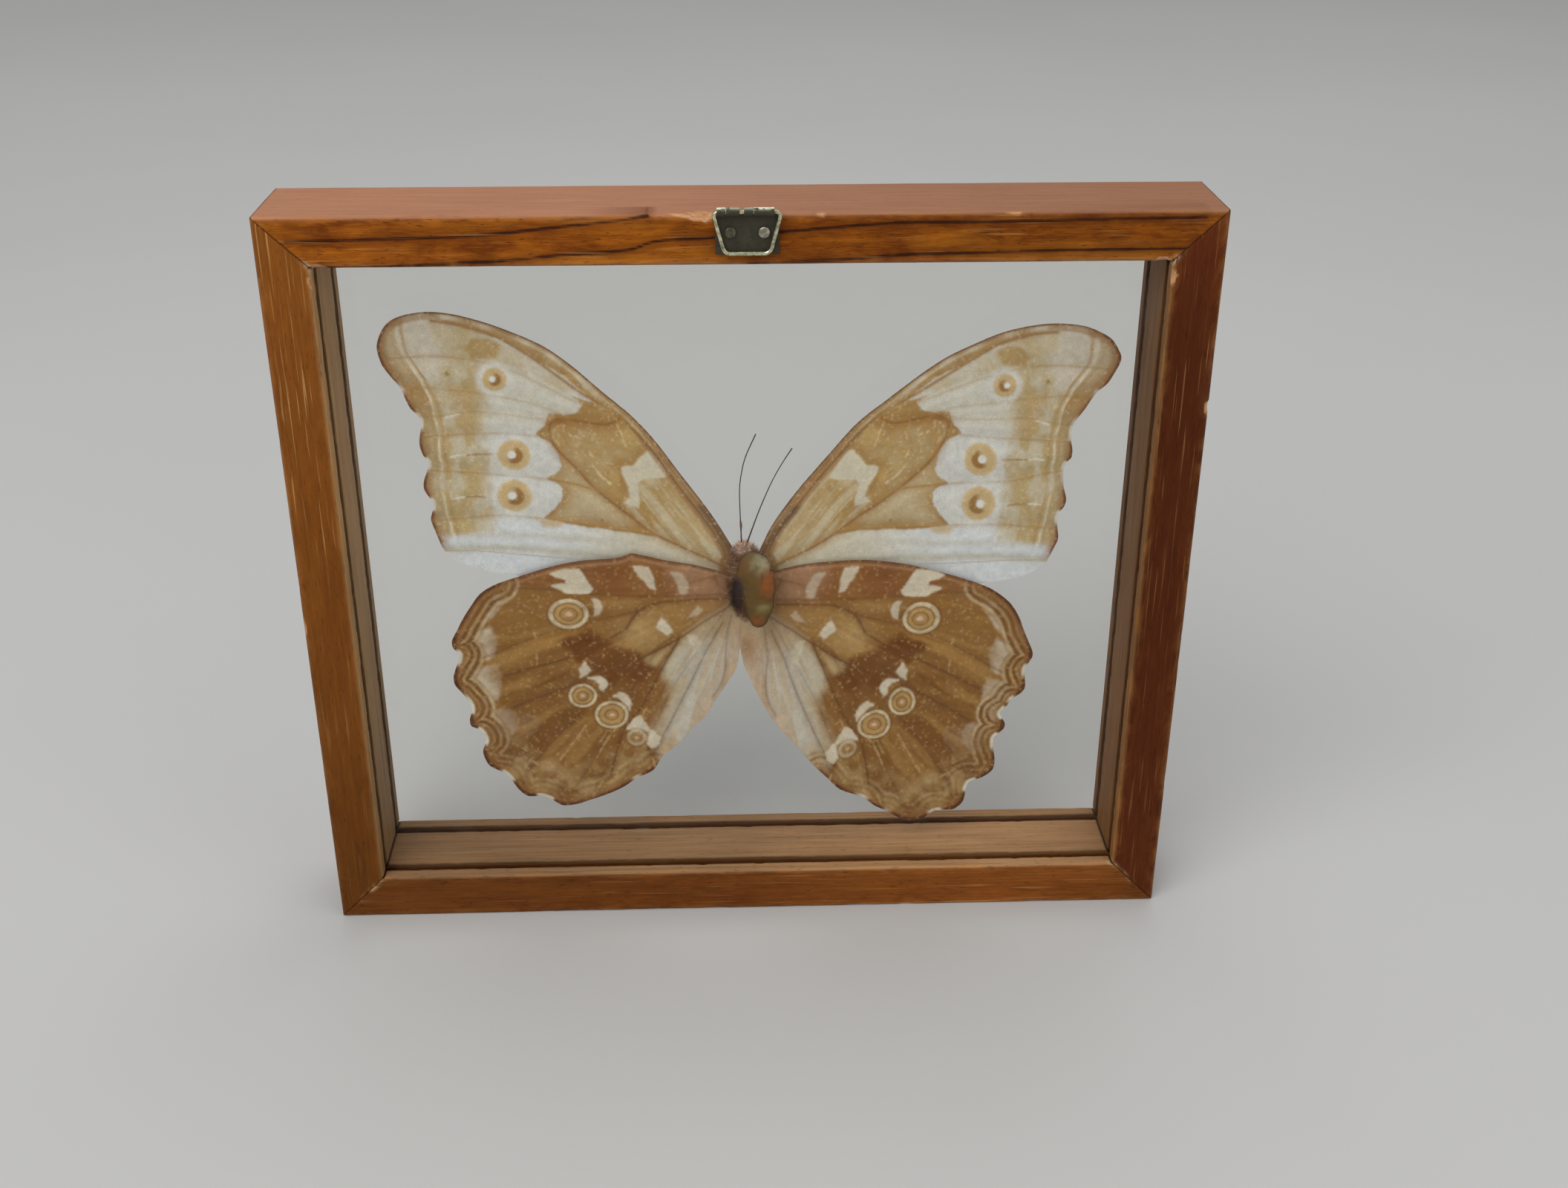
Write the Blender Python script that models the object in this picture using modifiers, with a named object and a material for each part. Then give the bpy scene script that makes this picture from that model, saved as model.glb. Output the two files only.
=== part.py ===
# Butterfly shadow box: four mitred wooden bars hold two panes of glass, and a spread
# butterfly hangs between the panes from a dab of glue. Metres, +Z up. The origin is the
# centre of the bottom face, and the side with the hanger faces -Y.
import math

import bmesh
import bpy
from mathutils import Matrix, Vector

MM = 0.001

# The box
BOX_WIDTH = 160 * MM
BOX_HEIGHT = 138.7 * MM
BOX_DEPTH = 20 * MM
SIDE_BAR = 8.9 * MM
TOP_BAR = 8.6 * MM
BOTTOM_BAR = 9.1 * MM
EDGE_ROUND = 0.5 * MM

# Saw kerfs for the panes, measured from the hanger side
BACK_LIP = 2.55 * MM
KERF = 1.8 * MM
LEDGE = 11.0 * MM
KERF_DEPTH = 3.0 * MM
PANE = 1.2 * MM

# Room left between neighbouring pieces
GAP = 0.3 * MM

# Hanger: a plate whose rolled top edge holds a wire loop
HANGER_X = 0.4 * MM
PLATE_WIDTH = 10.5 * MM
PLATE_BOTTOM = 132.1 * MM
SHEET = 0.4 * MM
BORE = 0.65 * MM
AXIS_Z = 139.3 * MM
WIRE = 0.38 * MM
KNUCKLE_TOP = 4.7 * MM
KNUCKLE_SLOTS = (2.9 * MM, 1.0 * MM)
RING_SHOULDER = 5.6 * MM
RING_FOOT = 3.75 * MM
RING_DROP = 6.85 * MM
NAIL_SPACING = 5.55 * MM
NAIL_DROP = 3.5 * MM
NAIL_HEAD = 0.95 * MM
NAIL_SHANK = 0.4 * MM
NAIL_LENGTH = 6.5 * MM
NAIL_POINT = 0.6 * MM
NAIL_CROWN = 0.35 * MM
NAIL_RIM = 0.12 * MM
NAIL_LIFT = 0.2 * MM

# Heights of the butterfly's layers between the panes, along Y
WING_THICKNESS = 0.4 * MM
HINDWING_Y = -0.45 * MM
FOREWING_Y = 0.45 * MM
ANTENNA_Y = -0.1 * MM

# Wing outlines in millimetres, X and Z, from the base along the costa to the tip and back
# along the scalloped margin
FOREWING_LEFT = [
    (-1.5, 71.0), (-2.7, 73.1), (-6.2, 79.5), (-9.4, 84.9), (-13.5, 91.3), (-16.6, 95.8),
    (-20.3, 100.1), (-24.8, 104.2), (-29.8, 109.0), (-34.8, 112.9), (-39.8, 115.4),
    (-44.8, 117.4), (-49.8, 118.9), (-53.9, 119.4), (-57.1, 119.2), (-59.8, 118.5),
    (-61.6, 117.4), (-62.9, 115.6), (-63.7, 113.3), (-63.5, 111.0), (-62.8, 109.2),
    (-60.5, 105.8), (-59.8, 104.0), (-58.9, 101.7), (-57.4, 99.6), (-57.8, 96.7),
    (-58.0, 94.9), (-57.5, 92.9), (-56.7, 91.3), (-57.8, 88.1), (-57.9, 86.3),
    (-57.1, 84.7), (-56.5, 83.3), (-57.2, 80.8), (-57.2, 79.7), (-56.6, 77.9),
    (-56.1, 76.3), (-55.5, 74.5), (-53.9, 72.6), (-51.2, 71.0), (-48.0, 69.9),
    (-45.3, 69.4), (-38.0, 68.1), (-28.0, 66.5), (-18.0, 65.3), (-10.0, 64.8), (-3.0, 65.5),
]
FOREWING_RIGHT = [
    (1.0, 70.5), (2.7, 72.7), (5.0, 77.8), (10.0, 85.9), (15.0, 92.3), (20.0, 98.2),
    (25.0, 102.3), (30.0, 106.4), (35.0, 110.0), (40.0, 112.5), (45.0, 114.6),
    (50.0, 115.8), (54.5, 116.2), (59.1, 115.8), (62.3, 114.6), (64.5, 113.2),
    (65.9, 111.1), (66.4, 109.8), (66.0, 108.0), (64.5, 105.2), (62.7, 103.4),
    (61.1, 100.9), (59.5, 98.4), (58.7, 96.6), (58.6, 94.5), (59.0, 92.7), (58.9, 90.9),
    (57.9, 89.6), (57.7, 87.3), (58.0, 85.0), (58.6, 82.7), (58.2, 81.1), (57.3, 79.8),
    (57.3, 77.8), (57.7, 75.2), (57.4, 73.9), (56.6, 72.0), (55.7, 70.0), (54.1, 68.6),
    (51.4, 67.3), (48.2, 66.5), (45.0, 66.1), (38.0, 65.2), (28.0, 64.5), (18.0, 64.0),
    (10.0, 63.8), (3.0, 65.0),
]
HINDWING_LEFT = [
    (-1.2, 68.2), (-4.5, 69.0), (-10.0, 71.0), (-15.0, 72.0), (-20.0, 73.3), (-21.7, 73.4),
    (-24.0, 72.6), (-30.0, 72.2), (-35.0, 71.3), (-40.0, 69.8), (-46.3, 67.5),
    (-49.2, 65.8), (-51.0, 63.5), (-52.9, 60.6), (-54.2, 58.1), (-55.3, 56.0),
    (-55.2, 54.3), (-54.2, 53.1), (-54.7, 51.0), (-55.6, 48.5), (-55.5, 46.4),
    (-54.2, 44.5), (-52.9, 42.2), (-52.8, 40.6), (-53.3, 38.9), (-53.1, 37.3),
    (-51.5, 36.4), (-50.6, 34.3), (-51.3, 31.8), (-51.0, 29.8), (-50.0, 28.1),
    (-47.5, 26.6), (-46.3, 25.2), (-45.2, 23.1), (-43.3, 21.2), (-40.8, 21.2),
    (-38.8, 20.4), (-36.7, 18.9), (-33.8, 19.1), (-31.3, 20.0), (-27.5, 21.4),
    (-24.2, 23.1), (-21.7, 25.0), (-18.6, 26.6), (-16.5, 30.0), (-13.8, 32.3),
    (-10.4, 36.4), (-8.3, 38.5), (-5.8, 42.7), (-3.2, 47.0), (-1.8, 50.2), (-1.8, 56.0),
    (-1.6, 61.0),
]
HINDWING_RIGHT = [
    (1.5, 67.8), (5.2, 69.1), (10.0, 70.6), (15.0, 71.2), (20.8, 71.5), (25.0, 71.2),
    (30.0, 70.4), (35.0, 69.1), (40.0, 67.5), (44.2, 65.8), (47.1, 64.1), (49.6, 61.8),
    (51.3, 58.9), (52.1, 56.8), (53.3, 53.9), (54.3, 51.4), (54.0, 49.8), (53.0, 47.7),
    (53.3, 44.3), (52.7, 42.7), (51.0, 41.4), (50.0, 39.8), (48.8, 38.1), (49.8, 36.0),
    (49.6, 34.5), (47.9, 32.7), (47.9, 30.2), (48.3, 27.7), (47.9, 25.2), (45.8, 23.5),
    (43.5, 22.5), (42.9, 20.6), (42.5, 18.1), (40.6, 16.2), (37.1, 16.0), (35.0, 14.5),
    (32.9, 13.7), (30.0, 14.3), (27.5, 16.0), (25.0, 17.3), (22.5, 19.3), (20.0, 20.4),
    (17.9, 21.4), (15.8, 23.5), (12.5, 27.3), (10.0, 30.6), (7.5, 33.9), (4.8, 37.3),
    (2.5, 41.8), (0.3, 47.0), (-0.9, 50.6), (-1.0, 56.0), (0.2, 61.0),
]

# Antennae: X, Z and thickness against ANTENNA_RADIUS along each one
ANTENNA_RADIUS = 0.16 * MM
ANTENNA_LEFT = [
    (-0.95, 75.3, 1.0), (-1.0, 77.2, 1.0), (-1.0, 78.6, 1.9), (-1.1, 80.2, 1.0),
    (-1.2, 85.4, 1.0), (-0.8, 89.0, 1.0), (0.0, 92.2, 1.0), (1.8, 96.4, 0.9),
]
ANTENNA_RIGHT = [
    (0.15, 75.3, 1.0), (2.3, 81.4, 1.0), (4.5, 86.8, 1.0), (6.4, 90.5, 1.0), (8.3, 93.6, 0.9),
]

# Body: centre, then half sizes along X, Y and Z, in millimetres
THORAX = ((0.2, 0.0, 66.8), (3.8, 3.2, 7.2))
HEAD = ((-0.5, -0.1, 72.7), (2.1, 1.9, 2.0))
EYES = [((-2.1, -0.4, 73.1), (0.8, 1.0, 1.1)), ((1.1, -0.4, 73.1), (0.8, 1.0, 1.1))]
GLUE_CENTRE = (1.5 * MM, 68.2 * MM)
GLUE_RADII = (3.6, 2.0, 7.6)
GLUE_TRIM = 0.05 * MM

TOLERANCE = 0.01 * MM

# Worked out from the values above
HALF_DEPTH = BOX_DEPTH / 2
BACK_KERF_Y = -HALF_DEPTH + BACK_LIP + KERF / 2
FRONT_KERF_Y = BACK_KERF_Y + KERF + LEDGE
PANE_INNER_Y = BACK_KERF_Y + PANE / 2
ROLL = BORE + SHEET / 2
AXIS_Y = -HALF_DEPTH - GAP - SHEET / 2 - ROLL
PLATE_Y = -HALF_DEPTH - GAP - SHEET / 2


def clearScene():
    for thing in list(bpy.data.objects):
        bpy.data.objects.remove(thing, do_unlink=True)


def makeCollection(name):
    group = bpy.data.collections.new(name)
    bpy.context.scene.collection.children.link(group)
    return group


def makeMaterial(name, colour, roughness, metallic=0.0, alpha=1.0):
    material = bpy.data.materials.new(name)
    material.use_nodes = True
    shader = material.node_tree.nodes["Principled BSDF"]
    shader.inputs["Base Color"].default_value = (*colour, 1.0)
    shader.inputs["Roughness"].default_value = roughness
    shader.inputs["Metallic"].default_value = metallic
    shader.inputs["Alpha"].default_value = alpha
    return material


def addObject(name, data, group, material=None):
    thing = bpy.data.objects.new(name, data)
    group.objects.link(thing)
    if material:
        data.materials.append(material)
    return thing


def meshFrom(form, name):
    mesh = bpy.data.meshes.new(name)
    form.to_mesh(mesh)
    form.free()
    return mesh


def asCutter(thing):
    thing.hide_render = True
    thing.display_type = "WIRE"
    return thing


def cubeForm(low, high):
    form = bmesh.new()
    bmesh.ops.create_cube(form, size=1.0)
    middle = (Vector(low) + Vector(high)) / 2
    size = Vector(high) - Vector(low)
    place = Matrix.Translation(middle) @ Matrix.Diagonal((*size, 1.0))
    bmesh.ops.transform(form, verts=form.verts, matrix=place)
    return form


def ellipsoidForm(centre, radii, extra=0.0, segments=24, rings=16):
    form = bmesh.new()
    bmesh.ops.create_uvsphere(form, u_segments=segments, v_segments=rings, radius=1.0)
    size = [radius * MM + extra for radius in radii]
    place = Matrix.Translation(Vector(centre) * MM) @ Matrix.Diagonal((*size, 1.0))
    bmesh.ops.transform(form, verts=form.verts, matrix=place)
    return form


def combine(thing, other, operation):
    step = thing.modifiers.new(f"{operation.lower()} {other.name}", "BOOLEAN")
    step.operation = operation
    step.solver = "EXACT"
    step.object = other


def shadeRound(thing, angle=35):
    thing.data.shade_smooth()
    thing.data.set_sharp_from_angle(angle=math.radians(angle))


def smoothLine(points, closed, steps):
    """Points along a Catmull-Rom curve through the given ones."""
    count = len(points)
    line = []
    for index in range(count if closed else count - 1):
        near = [points[(index + k) % count] if closed else points[min(max(index + k, 0), count - 1)]
                for k in (-1, 0, 1, 2)]
        for step in range(steps):
            t = step / steps
            weights = (
                (-t + 2 * t**2 - t**3) / 2,
                (2 - 5 * t**2 + 3 * t**3) / 2,
                (t + 4 * t**2 - 3 * t**3) / 2,
                (-t**2 + t**3) / 2,
            )
            line.append(tuple(
                sum(weight * place[axis] for weight, place in zip(weights, near))
                for axis in range(len(near[0]))
            ))
    if not closed:
        line.append(tuple(points[-1]))
    return line


def roundedCorners(corners, radii, steps=5):
    """The corners of a closed flat loop, each replaced by an arc of its own radius."""
    line = []
    count = len(corners)
    for index, radius in enumerate(radii):
        corner = Vector(corners[index])
        before = (Vector(corners[index - 1]) - corner).normalized()
        after = (Vector(corners[(index + 1) % count]) - corner).normalized()
        half = before.angle(after) / 2
        centre = corner + (before + after).normalized() * radius / math.sin(half)
        start = corner + before * radius / math.tan(half) - centre
        end = corner + after * radius / math.tan(half) - centre
        sweep = start.angle_signed(end)
        for step in range(steps + 1):
            turn = Matrix.Rotation(-sweep * step / steps, 2)
            line.append(tuple(centre + turn @ start))
    return line


def polySpline(curve, points, cyclic, radii=None):
    spline = curve.splines.new("POLY")
    spline.points.add(len(points) - 1)
    for index, point in enumerate(points):
        spline.points[index].co = (*point, 1.0)
        if radii:
            spline.points[index].radius = radii[index]
    spline.use_cyclic_u = cyclic
    return spline


def wireCurve(name, points, radius, cyclic, radii=None):
    curve = bpy.data.curves.new(name, "CURVE")
    curve.dimensions = "3D"
    curve.bevel_depth = radius
    curve.bevel_resolution = 2
    curve.use_fill_caps = True
    polySpline(curve, points, cyclic, radii)
    return curve


def meshFromCurve(curve, name, matrix):
    """The mesh of a filled curve, with its caps welded on."""
    guide = bpy.data.objects.new(name + " guide", curve)
    bpy.context.scene.collection.objects.link(guide)
    guide.matrix_world = matrix
    bpy.context.view_layer.update()
    evaluated = guide.evaluated_get(bpy.context.evaluated_depsgraph_get())
    mesh = bpy.data.meshes.new_from_object(evaluated)
    form = bmesh.new()
    form.from_mesh(mesh)
    bmesh.ops.remove_doubles(form, verts=form.verts, dist=TOLERANCE)
    form.to_mesh(mesh)
    form.free()
    bpy.data.objects.remove(guide, do_unlink=True)
    return mesh


def makeKerfCutters(group):
    """A block for each pane's groove, as wide and high as the groove reaches into the bars."""
    half = BOX_WIDTH / 2 - SIDE_BAR + KERF_DEPTH
    cutters = []
    for name, y in (("back kerf", BACK_KERF_Y), ("front kerf", FRONT_KERF_Y)):
        low = (-half, y - KERF / 2, BOTTOM_BAR - KERF_DEPTH)
        high = (half, y + KERF / 2, BOX_HEIGHT - TOP_BAR + KERF_DEPTH)
        cutters.append(asCutter(addObject(name, meshFrom(cubeForm(low, high), name), group)))
    return cutters


def makeBar(name, corners, group, material, cutters):
    """A bar of the frame: a block whose ends are moved to the mitres, then grooved."""
    form = cubeForm((-1, -HALF_DEPTH, -1), (1, HALF_DEPTH, 1))
    for vert in form.verts:
        vert.co.x, vert.co.z = corners[(vert.co.x > 0, vert.co.z > 0)]
    bar = addObject(name, meshFrom(form, name), group, material)
    rounding = bar.modifiers.new("edges", "BEVEL")
    rounding.width = EDGE_ROUND
    rounding.segments = 2
    for cutter in cutters:
        combine(bar, cutter, "DIFFERENCE")
    return bar


def makeFrame(group, material, kerfs, nailHoles):
    outerX = BOX_WIDTH / 2
    innerX = outerX - SIDE_BAR
    innerTop = BOX_HEIGHT - TOP_BAR
    mitre = GAP * math.sqrt(2)
    level = {
        "frame_top": (innerTop, BOX_HEIGHT, innerX, outerX),
        "frame_bottom": (0.0, BOTTOM_BAR, outerX, innerX),
    }
    for name, (low, high, lowX, highX) in level.items():
        corners = {}
        for right in (False, True):
            side = 1 if right else -1
            corners[(right, False)] = (side * (lowX - mitre), low)
            corners[(right, True)] = (side * (highX - mitre), high)
        makeBar(name, corners, group, material, kerfs + (nailHoles if name == "frame_top" else []))
    for name, side in (("frame_left", -1), ("frame_right", 1)):
        corners = {}
        for right in (False, True):
            outer = right == (side > 0)
            x = side * (outerX if outer else innerX)
            corners[(right, False)] = (x, 0.0 if outer else BOTTOM_BAR)
            corners[(right, True)] = (x, BOX_HEIGHT if outer else innerTop)
        makeBar(name, corners, group, material, kerfs)


def makePane(name, y, group, material):
    reach = KERF_DEPTH - GAP
    half = BOX_WIDTH / 2 - SIDE_BAR + reach
    low = (-half, y - PANE / 2, BOTTOM_BAR - reach)
    high = (half, y + PANE / 2, BOX_HEIGHT - TOP_BAR + reach)
    return addObject(name, meshFrom(cubeForm(low, high), name), group, material)


def nailPlaces():
    z = AXIS_Z - NAIL_DROP
    return {
        "nail_left": Vector((HANGER_X - NAIL_SPACING / 2, 0.0, z)),
        "nail_right": Vector((HANGER_X + NAIL_SPACING / 2, 0.0, z)),
    }


def makeNailHoles(group):
    holes = []
    for name, place in nailPlaces().items():
        form = bmesh.new()
        radius = NAIL_SHANK + GAP
        bmesh.ops.create_cone(
            form, cap_ends=True, segments=16, radius1=radius, radius2=radius, depth=2 * (NAIL_LENGTH + GAP)
        )
        hole = addObject(name + " hole", meshFrom(form, name + " hole"), group)
        hole.location = place + Vector((0, PLATE_Y, 0))
        hole.rotation_euler = (math.pi / 2, 0, 0)
        holes.append(asCutter(hole))
    return holes


def makeNails(group, material):
    """Each nail is a profile turned about its own axis, head towards -Y."""
    profile = [
        (0.0, NAIL_CROWN), (NAIL_HEAD * 0.6, NAIL_CROWN * 0.86), (NAIL_HEAD, NAIL_RIM), (NAIL_HEAD, 0.0),
        (NAIL_SHANK, 0.0), (NAIL_SHANK, -NAIL_LENGTH), (0.0, -NAIL_LENGTH - NAIL_POINT),
    ]
    for name, place in nailPlaces().items():
        mesh = bpy.data.meshes.new(name)
        edges = [(index, index + 1) for index in range(len(profile) - 1)]
        mesh.from_pydata([(x, 0.0, z) for x, z in profile], edges, [])
        nail = addObject(name, mesh, group, material)
        turn = nail.modifiers.new("turn", "SCREW")
        turn.steps = 16
        turn.render_steps = 16
        turn.use_merge_vertices = True
        turn.merge_threshold = TOLERANCE
        turn.use_smooth_shade = True
        nail.location = place + Vector((0, PLATE_Y - SHEET / 2 - NAIL_LIFT, 0))
        nail.rotation_euler = (math.pi / 2, 0, 0)


def makeHangerPlate(group, material, nailHoles):
    """A flat sheet whose top edge is slotted into three tabs, each rolled forward round the wire."""
    outer, slotOuter, slotInner = KNUCKLE_TOP, *KNUCKLE_SLOTS
    half = PLATE_WIDTH / 2
    columns = [-half, -outer, -slotOuter, -slotInner, slotInner, slotOuter, outer, half]
    rollSteps = 11
    rollTurn = math.radians(285)
    tabStart = AXIS_Z - ROLL - 0.6 * MM
    path = [(PLATE_Y, PLATE_BOTTOM), (PLATE_Y, tabStart)]
    for step in range(rollSteps + 1):
        turn = rollTurn * step / rollSteps
        path.append((AXIS_Y + ROLL * math.cos(turn), AXIS_Z + ROLL * math.sin(turn)))
    form = bmesh.new()
    bmesh.ops.create_grid(form, x_segments=len(columns) - 1, y_segments=len(path) - 1, size=1.0)
    across, along = len(columns) - 1, len(path) - 1
    cells = {}
    for vert in form.verts:
        cells[vert] = (round((vert.co.x + 1) / 2 * across), round((vert.co.y + 1) / 2 * along))
    solid = (1, 3, 5)
    spare = [face for face in form.faces
             if min(cells[vert][1] for vert in face.verts) >= 1
             and min(cells[vert][0] for vert in face.verts) not in solid]
    for vert, (column, row) in cells.items():
        vert.co = (HANGER_X + columns[column], *path[row])
    bmesh.ops.delete(form, geom=spare, context="FACES")
    bmesh.ops.recalc_face_normals(form, faces=form.faces)
    plate = addObject("hanger_plate", meshFrom(form, "hanger_plate"), group, material)
    thick = plate.modifiers.new("sheet", "SOLIDIFY")
    thick.thickness = SHEET
    thick.offset = 0.0
    for hole in nailHoles:
        combine(plate, hole, "DIFFERENCE")
    shadeRound(plate)
    return plate


def makeHangerRing(group, material):
    """A closed loop of wire with its straight side on the hinge axis, folded down over the plate."""
    corners = [
        (-RING_SHOULDER, 0.0), (RING_SHOULDER, 0.0), (RING_FOOT, -RING_DROP), (-RING_FOOT, -RING_DROP),
    ]
    radii = [0.75 * MM, 0.75 * MM, 1.3 * MM, 1.3 * MM]
    line = roundedCorners(corners, radii)
    curve = wireCurve("hanger_ring", [(x, 0.0, z) for x, z in line], WIRE, cyclic=True)
    ring = addObject("hanger_ring", curve, group, material)
    ring.location = (HANGER_X, AXIS_Y, AXIS_Z)
    return ring


def makeBodyCutters(group):
    """The body's forms, a gap larger all round, that clear the wing roots."""
    forms = {"thorax room": THORAX, "head room": HEAD, "left eye room": EYES[0], "right eye room": EYES[1]}
    return [
        asCutter(addObject(name, meshFrom(ellipsoidForm(centre, radii, GAP), name), group))
        for name, (centre, radii) in forms.items()
    ]


def makeBody(group, cutters, material):
    """Thorax, head and eyes, grown as one piece."""
    body = addObject("body", meshFrom(ellipsoidForm(*THORAX), "body"), group, material)
    headForm = ellipsoidForm(*HEAD, segments=20, rings=12)
    head = asCutter(addObject("head", meshFrom(headForm, "head"), cutters))
    combine(body, head, "UNION")
    for side, (centre, radii) in zip(("left", "right"), EYES):
        name = side + " eye"
        form = ellipsoidForm(centre, radii, segments=12, rings=8)
        combine(body, asCutter(addObject(name, meshFrom(form, name), cutters)), "UNION")
    shadeRound(body, 60)
    return body


def makeGlue(group, material):
    """A dab flattened against the pane and pressed against the thorax."""
    x, z = GLUE_CENTRE
    flatY = PANE_INNER_Y + GAP
    form = ellipsoidForm((x / MM, (flatY - GLUE_TRIM) / MM, z / MM), GLUE_RADII, segments=20, rings=14)
    cut = bmesh.ops.bisect_plane(
        form, geom=[*form.verts, *form.edges, *form.faces], dist=TOLERANCE,
        plane_co=(0, flatY, 0), plane_no=(0, -1, 0), clear_outer=True,
    )
    rim = [part for part in cut["geom_cut"] if isinstance(part, bmesh.types.BMEdge)]
    bmesh.ops.edgeloop_fill(form, edges=rim)
    bmesh.ops.recalc_face_normals(form, faces=form.faces)
    dab = addObject("glue_dab", meshFrom(form, "glue_dab"), group, material)
    shadeRound(dab)
    return dab


def makeWing(name, outline, y, group, material, bodyRoom):
    """A flat outline extruded to the wing's thickness and cut clear of the body."""
    curve = bpy.data.curves.new(name + " outline", "CURVE")
    curve.dimensions = "2D"
    curve.fill_mode = "BOTH"
    curve.extrude = WING_THICKNESS / 2
    line = smoothLine([(x * MM, z * MM) for x, z in outline], closed=True, steps=2)
    polySpline(curve, [(x, z, 0.0) for x, z in line], cyclic=True)
    upright = Matrix.Rotation(math.pi / 2, 4, "X")
    place = Matrix.Translation((0, y, 0)) @ upright
    mesh = meshFromCurve(curve, name, place)
    mesh.name = name
    wing = addObject(name, mesh, group, material)
    wing.matrix_world = place
    for room in bodyRoom:
        combine(wing, room, "DIFFERENCE")
    return wing


def makeAntenna(name, points, group, material):
    line = smoothLine(points, closed=False, steps=3)
    places = [(x * MM, ANTENNA_Y, z * MM) for x, z, _ in line]
    curve = wireCurve(name, places, ANTENNA_RADIUS, cyclic=False, radii=[thick for _, _, thick in line])
    return addObject(name, curve, group, material)


def makeShadowBox():
    clearScene()
    group = makeCollection("butterfly_shadow_box")
    cutters = makeCollection("cutters")
    wood = makeMaterial("brown stained wood", (0.20, 0.075, 0.02), 0.55)
    glass = makeMaterial("clear glass", (0.85, 0.9, 0.9), 0.05, alpha=0.2)
    plateMetal = makeMaterial("dark steel sheet", (0.05, 0.045, 0.03), 0.45, 1.0)
    ringMetal = makeMaterial("nickel wire", (0.45, 0.42, 0.33), 0.3, 1.0)
    nailMetal = makeMaterial("steel nail", (0.35, 0.33, 0.28), 0.35, 1.0)
    glue = makeMaterial("amber glue", (0.30, 0.20, 0.05), 0.3)
    fur = makeMaterial("brown fur", (0.09, 0.045, 0.025), 0.9)
    paleWing = makeMaterial("pale ochre wing", (0.42, 0.33, 0.2), 0.8)
    brownWing = makeMaterial("brown wing", (0.22, 0.11, 0.04), 0.8)
    black = makeMaterial("dark antenna", (0.02, 0.015, 0.012), 0.6)

    kerfs = makeKerfCutters(cutters)
    nailHoles = makeNailHoles(cutters)
    makeFrame(group, wood, kerfs, nailHoles)
    makePane("glass_back", BACK_KERF_Y, group, glass)
    makePane("glass_front", FRONT_KERF_Y, group, glass)
    makeHangerPlate(group, plateMetal, nailHoles)
    makeHangerRing(group, ringMetal)
    makeNails(group, nailMetal)

    bodyRoom = makeBodyCutters(cutters)
    makeBody(group, cutters, fur)
    makeGlue(group, glue)
    makeWing("forewing_left", FOREWING_LEFT, FOREWING_Y, group, paleWing, bodyRoom)
    makeWing("forewing_right", FOREWING_RIGHT, FOREWING_Y, group, paleWing, bodyRoom)
    makeWing("hindwing_left", HINDWING_LEFT, HINDWING_Y, group, brownWing, bodyRoom)
    makeWing("hindwing_right", HINDWING_RIGHT, HINDWING_Y, group, brownWing, bodyRoom)
    makeAntenna("antenna_left", ANTENNA_LEFT, group, black)
    makeAntenna("antenna_right", ANTENNA_RIGHT, group, black)


makeShadowBox()
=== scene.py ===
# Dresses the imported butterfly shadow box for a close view: worn wood, glass, hanger and specimen.
import math

import bmesh
import bpy
import numpy as np
from mathutils import Matrix, Vector
from mathutils.geometry import delaunay_2d_cdt
from mathutils.kdtree import KDTree


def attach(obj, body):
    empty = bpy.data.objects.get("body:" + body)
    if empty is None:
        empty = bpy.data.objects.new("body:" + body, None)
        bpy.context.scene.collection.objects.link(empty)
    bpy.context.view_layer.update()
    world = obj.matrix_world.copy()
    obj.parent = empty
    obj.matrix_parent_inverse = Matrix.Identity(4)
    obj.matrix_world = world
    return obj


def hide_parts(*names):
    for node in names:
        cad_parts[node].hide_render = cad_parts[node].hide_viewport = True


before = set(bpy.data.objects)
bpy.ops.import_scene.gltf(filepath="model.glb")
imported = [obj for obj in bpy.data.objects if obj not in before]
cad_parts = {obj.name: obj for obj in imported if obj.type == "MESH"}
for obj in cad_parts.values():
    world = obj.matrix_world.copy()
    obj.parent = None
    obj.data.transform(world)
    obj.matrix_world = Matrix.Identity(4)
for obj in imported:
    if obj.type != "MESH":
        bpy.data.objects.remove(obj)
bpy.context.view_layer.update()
mm = 0.001
# how bright the lamps make a plain white face
light = 0.62


# Smooth noise and distances for anything painted on a mesh, all in millimetres
def softNoise(x, z, size, seed):
    gx, gz = x / size, z / size
    ix, iz = np.floor(gx).astype(np.int64), np.floor(gz).astype(np.int64)
    fx, fz = gx - ix, gz - iz
    fx, fz = fx * fx * (3 - 2 * fx), fz * fz * (3 - 2 * fz)

    def corner(dx, dz):
        mixed = ((ix + dx) * 374761393 + (iz + dz) * 668265263 + seed * 982451653) & 0xFFFFFFFF
        mixed = ((mixed ^ (mixed >> 13)) * 1274126177) & 0xFFFFFFFF
        return ((mixed ^ (mixed >> 16)) & 0xFFFF) / 32767.5 - 1

    low = corner(0, 0) * (1 - fx) + corner(1, 0) * fx
    high = corner(0, 1) * (1 - fx) + corner(1, 1) * fx
    return low * (1 - fz) + high * fz


def roughNoise(x, z, size, seed, layers=3):
    total = sum(softNoise(x, z, size / 2**k, seed + 7 * k) / 2**k for k in range(layers))
    return total / sum(1 / 2**k for k in range(layers))


def lineDistance(points, line, closed=False):
    line = np.asarray(line, float)
    ends = np.roll(line, -1, axis=0) if closed else line[1:]
    best = np.full(len(points), 1e9)
    for a, b in zip(line, ends):
        span = b - a
        along = np.clip(((points - a) @ span) / max(span @ span, 1e-12), 0, 1)
        gap = points - a - along[:, None] * span
        best = np.minimum(best, (gap * gap).sum(1))
    return np.sqrt(best)


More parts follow.
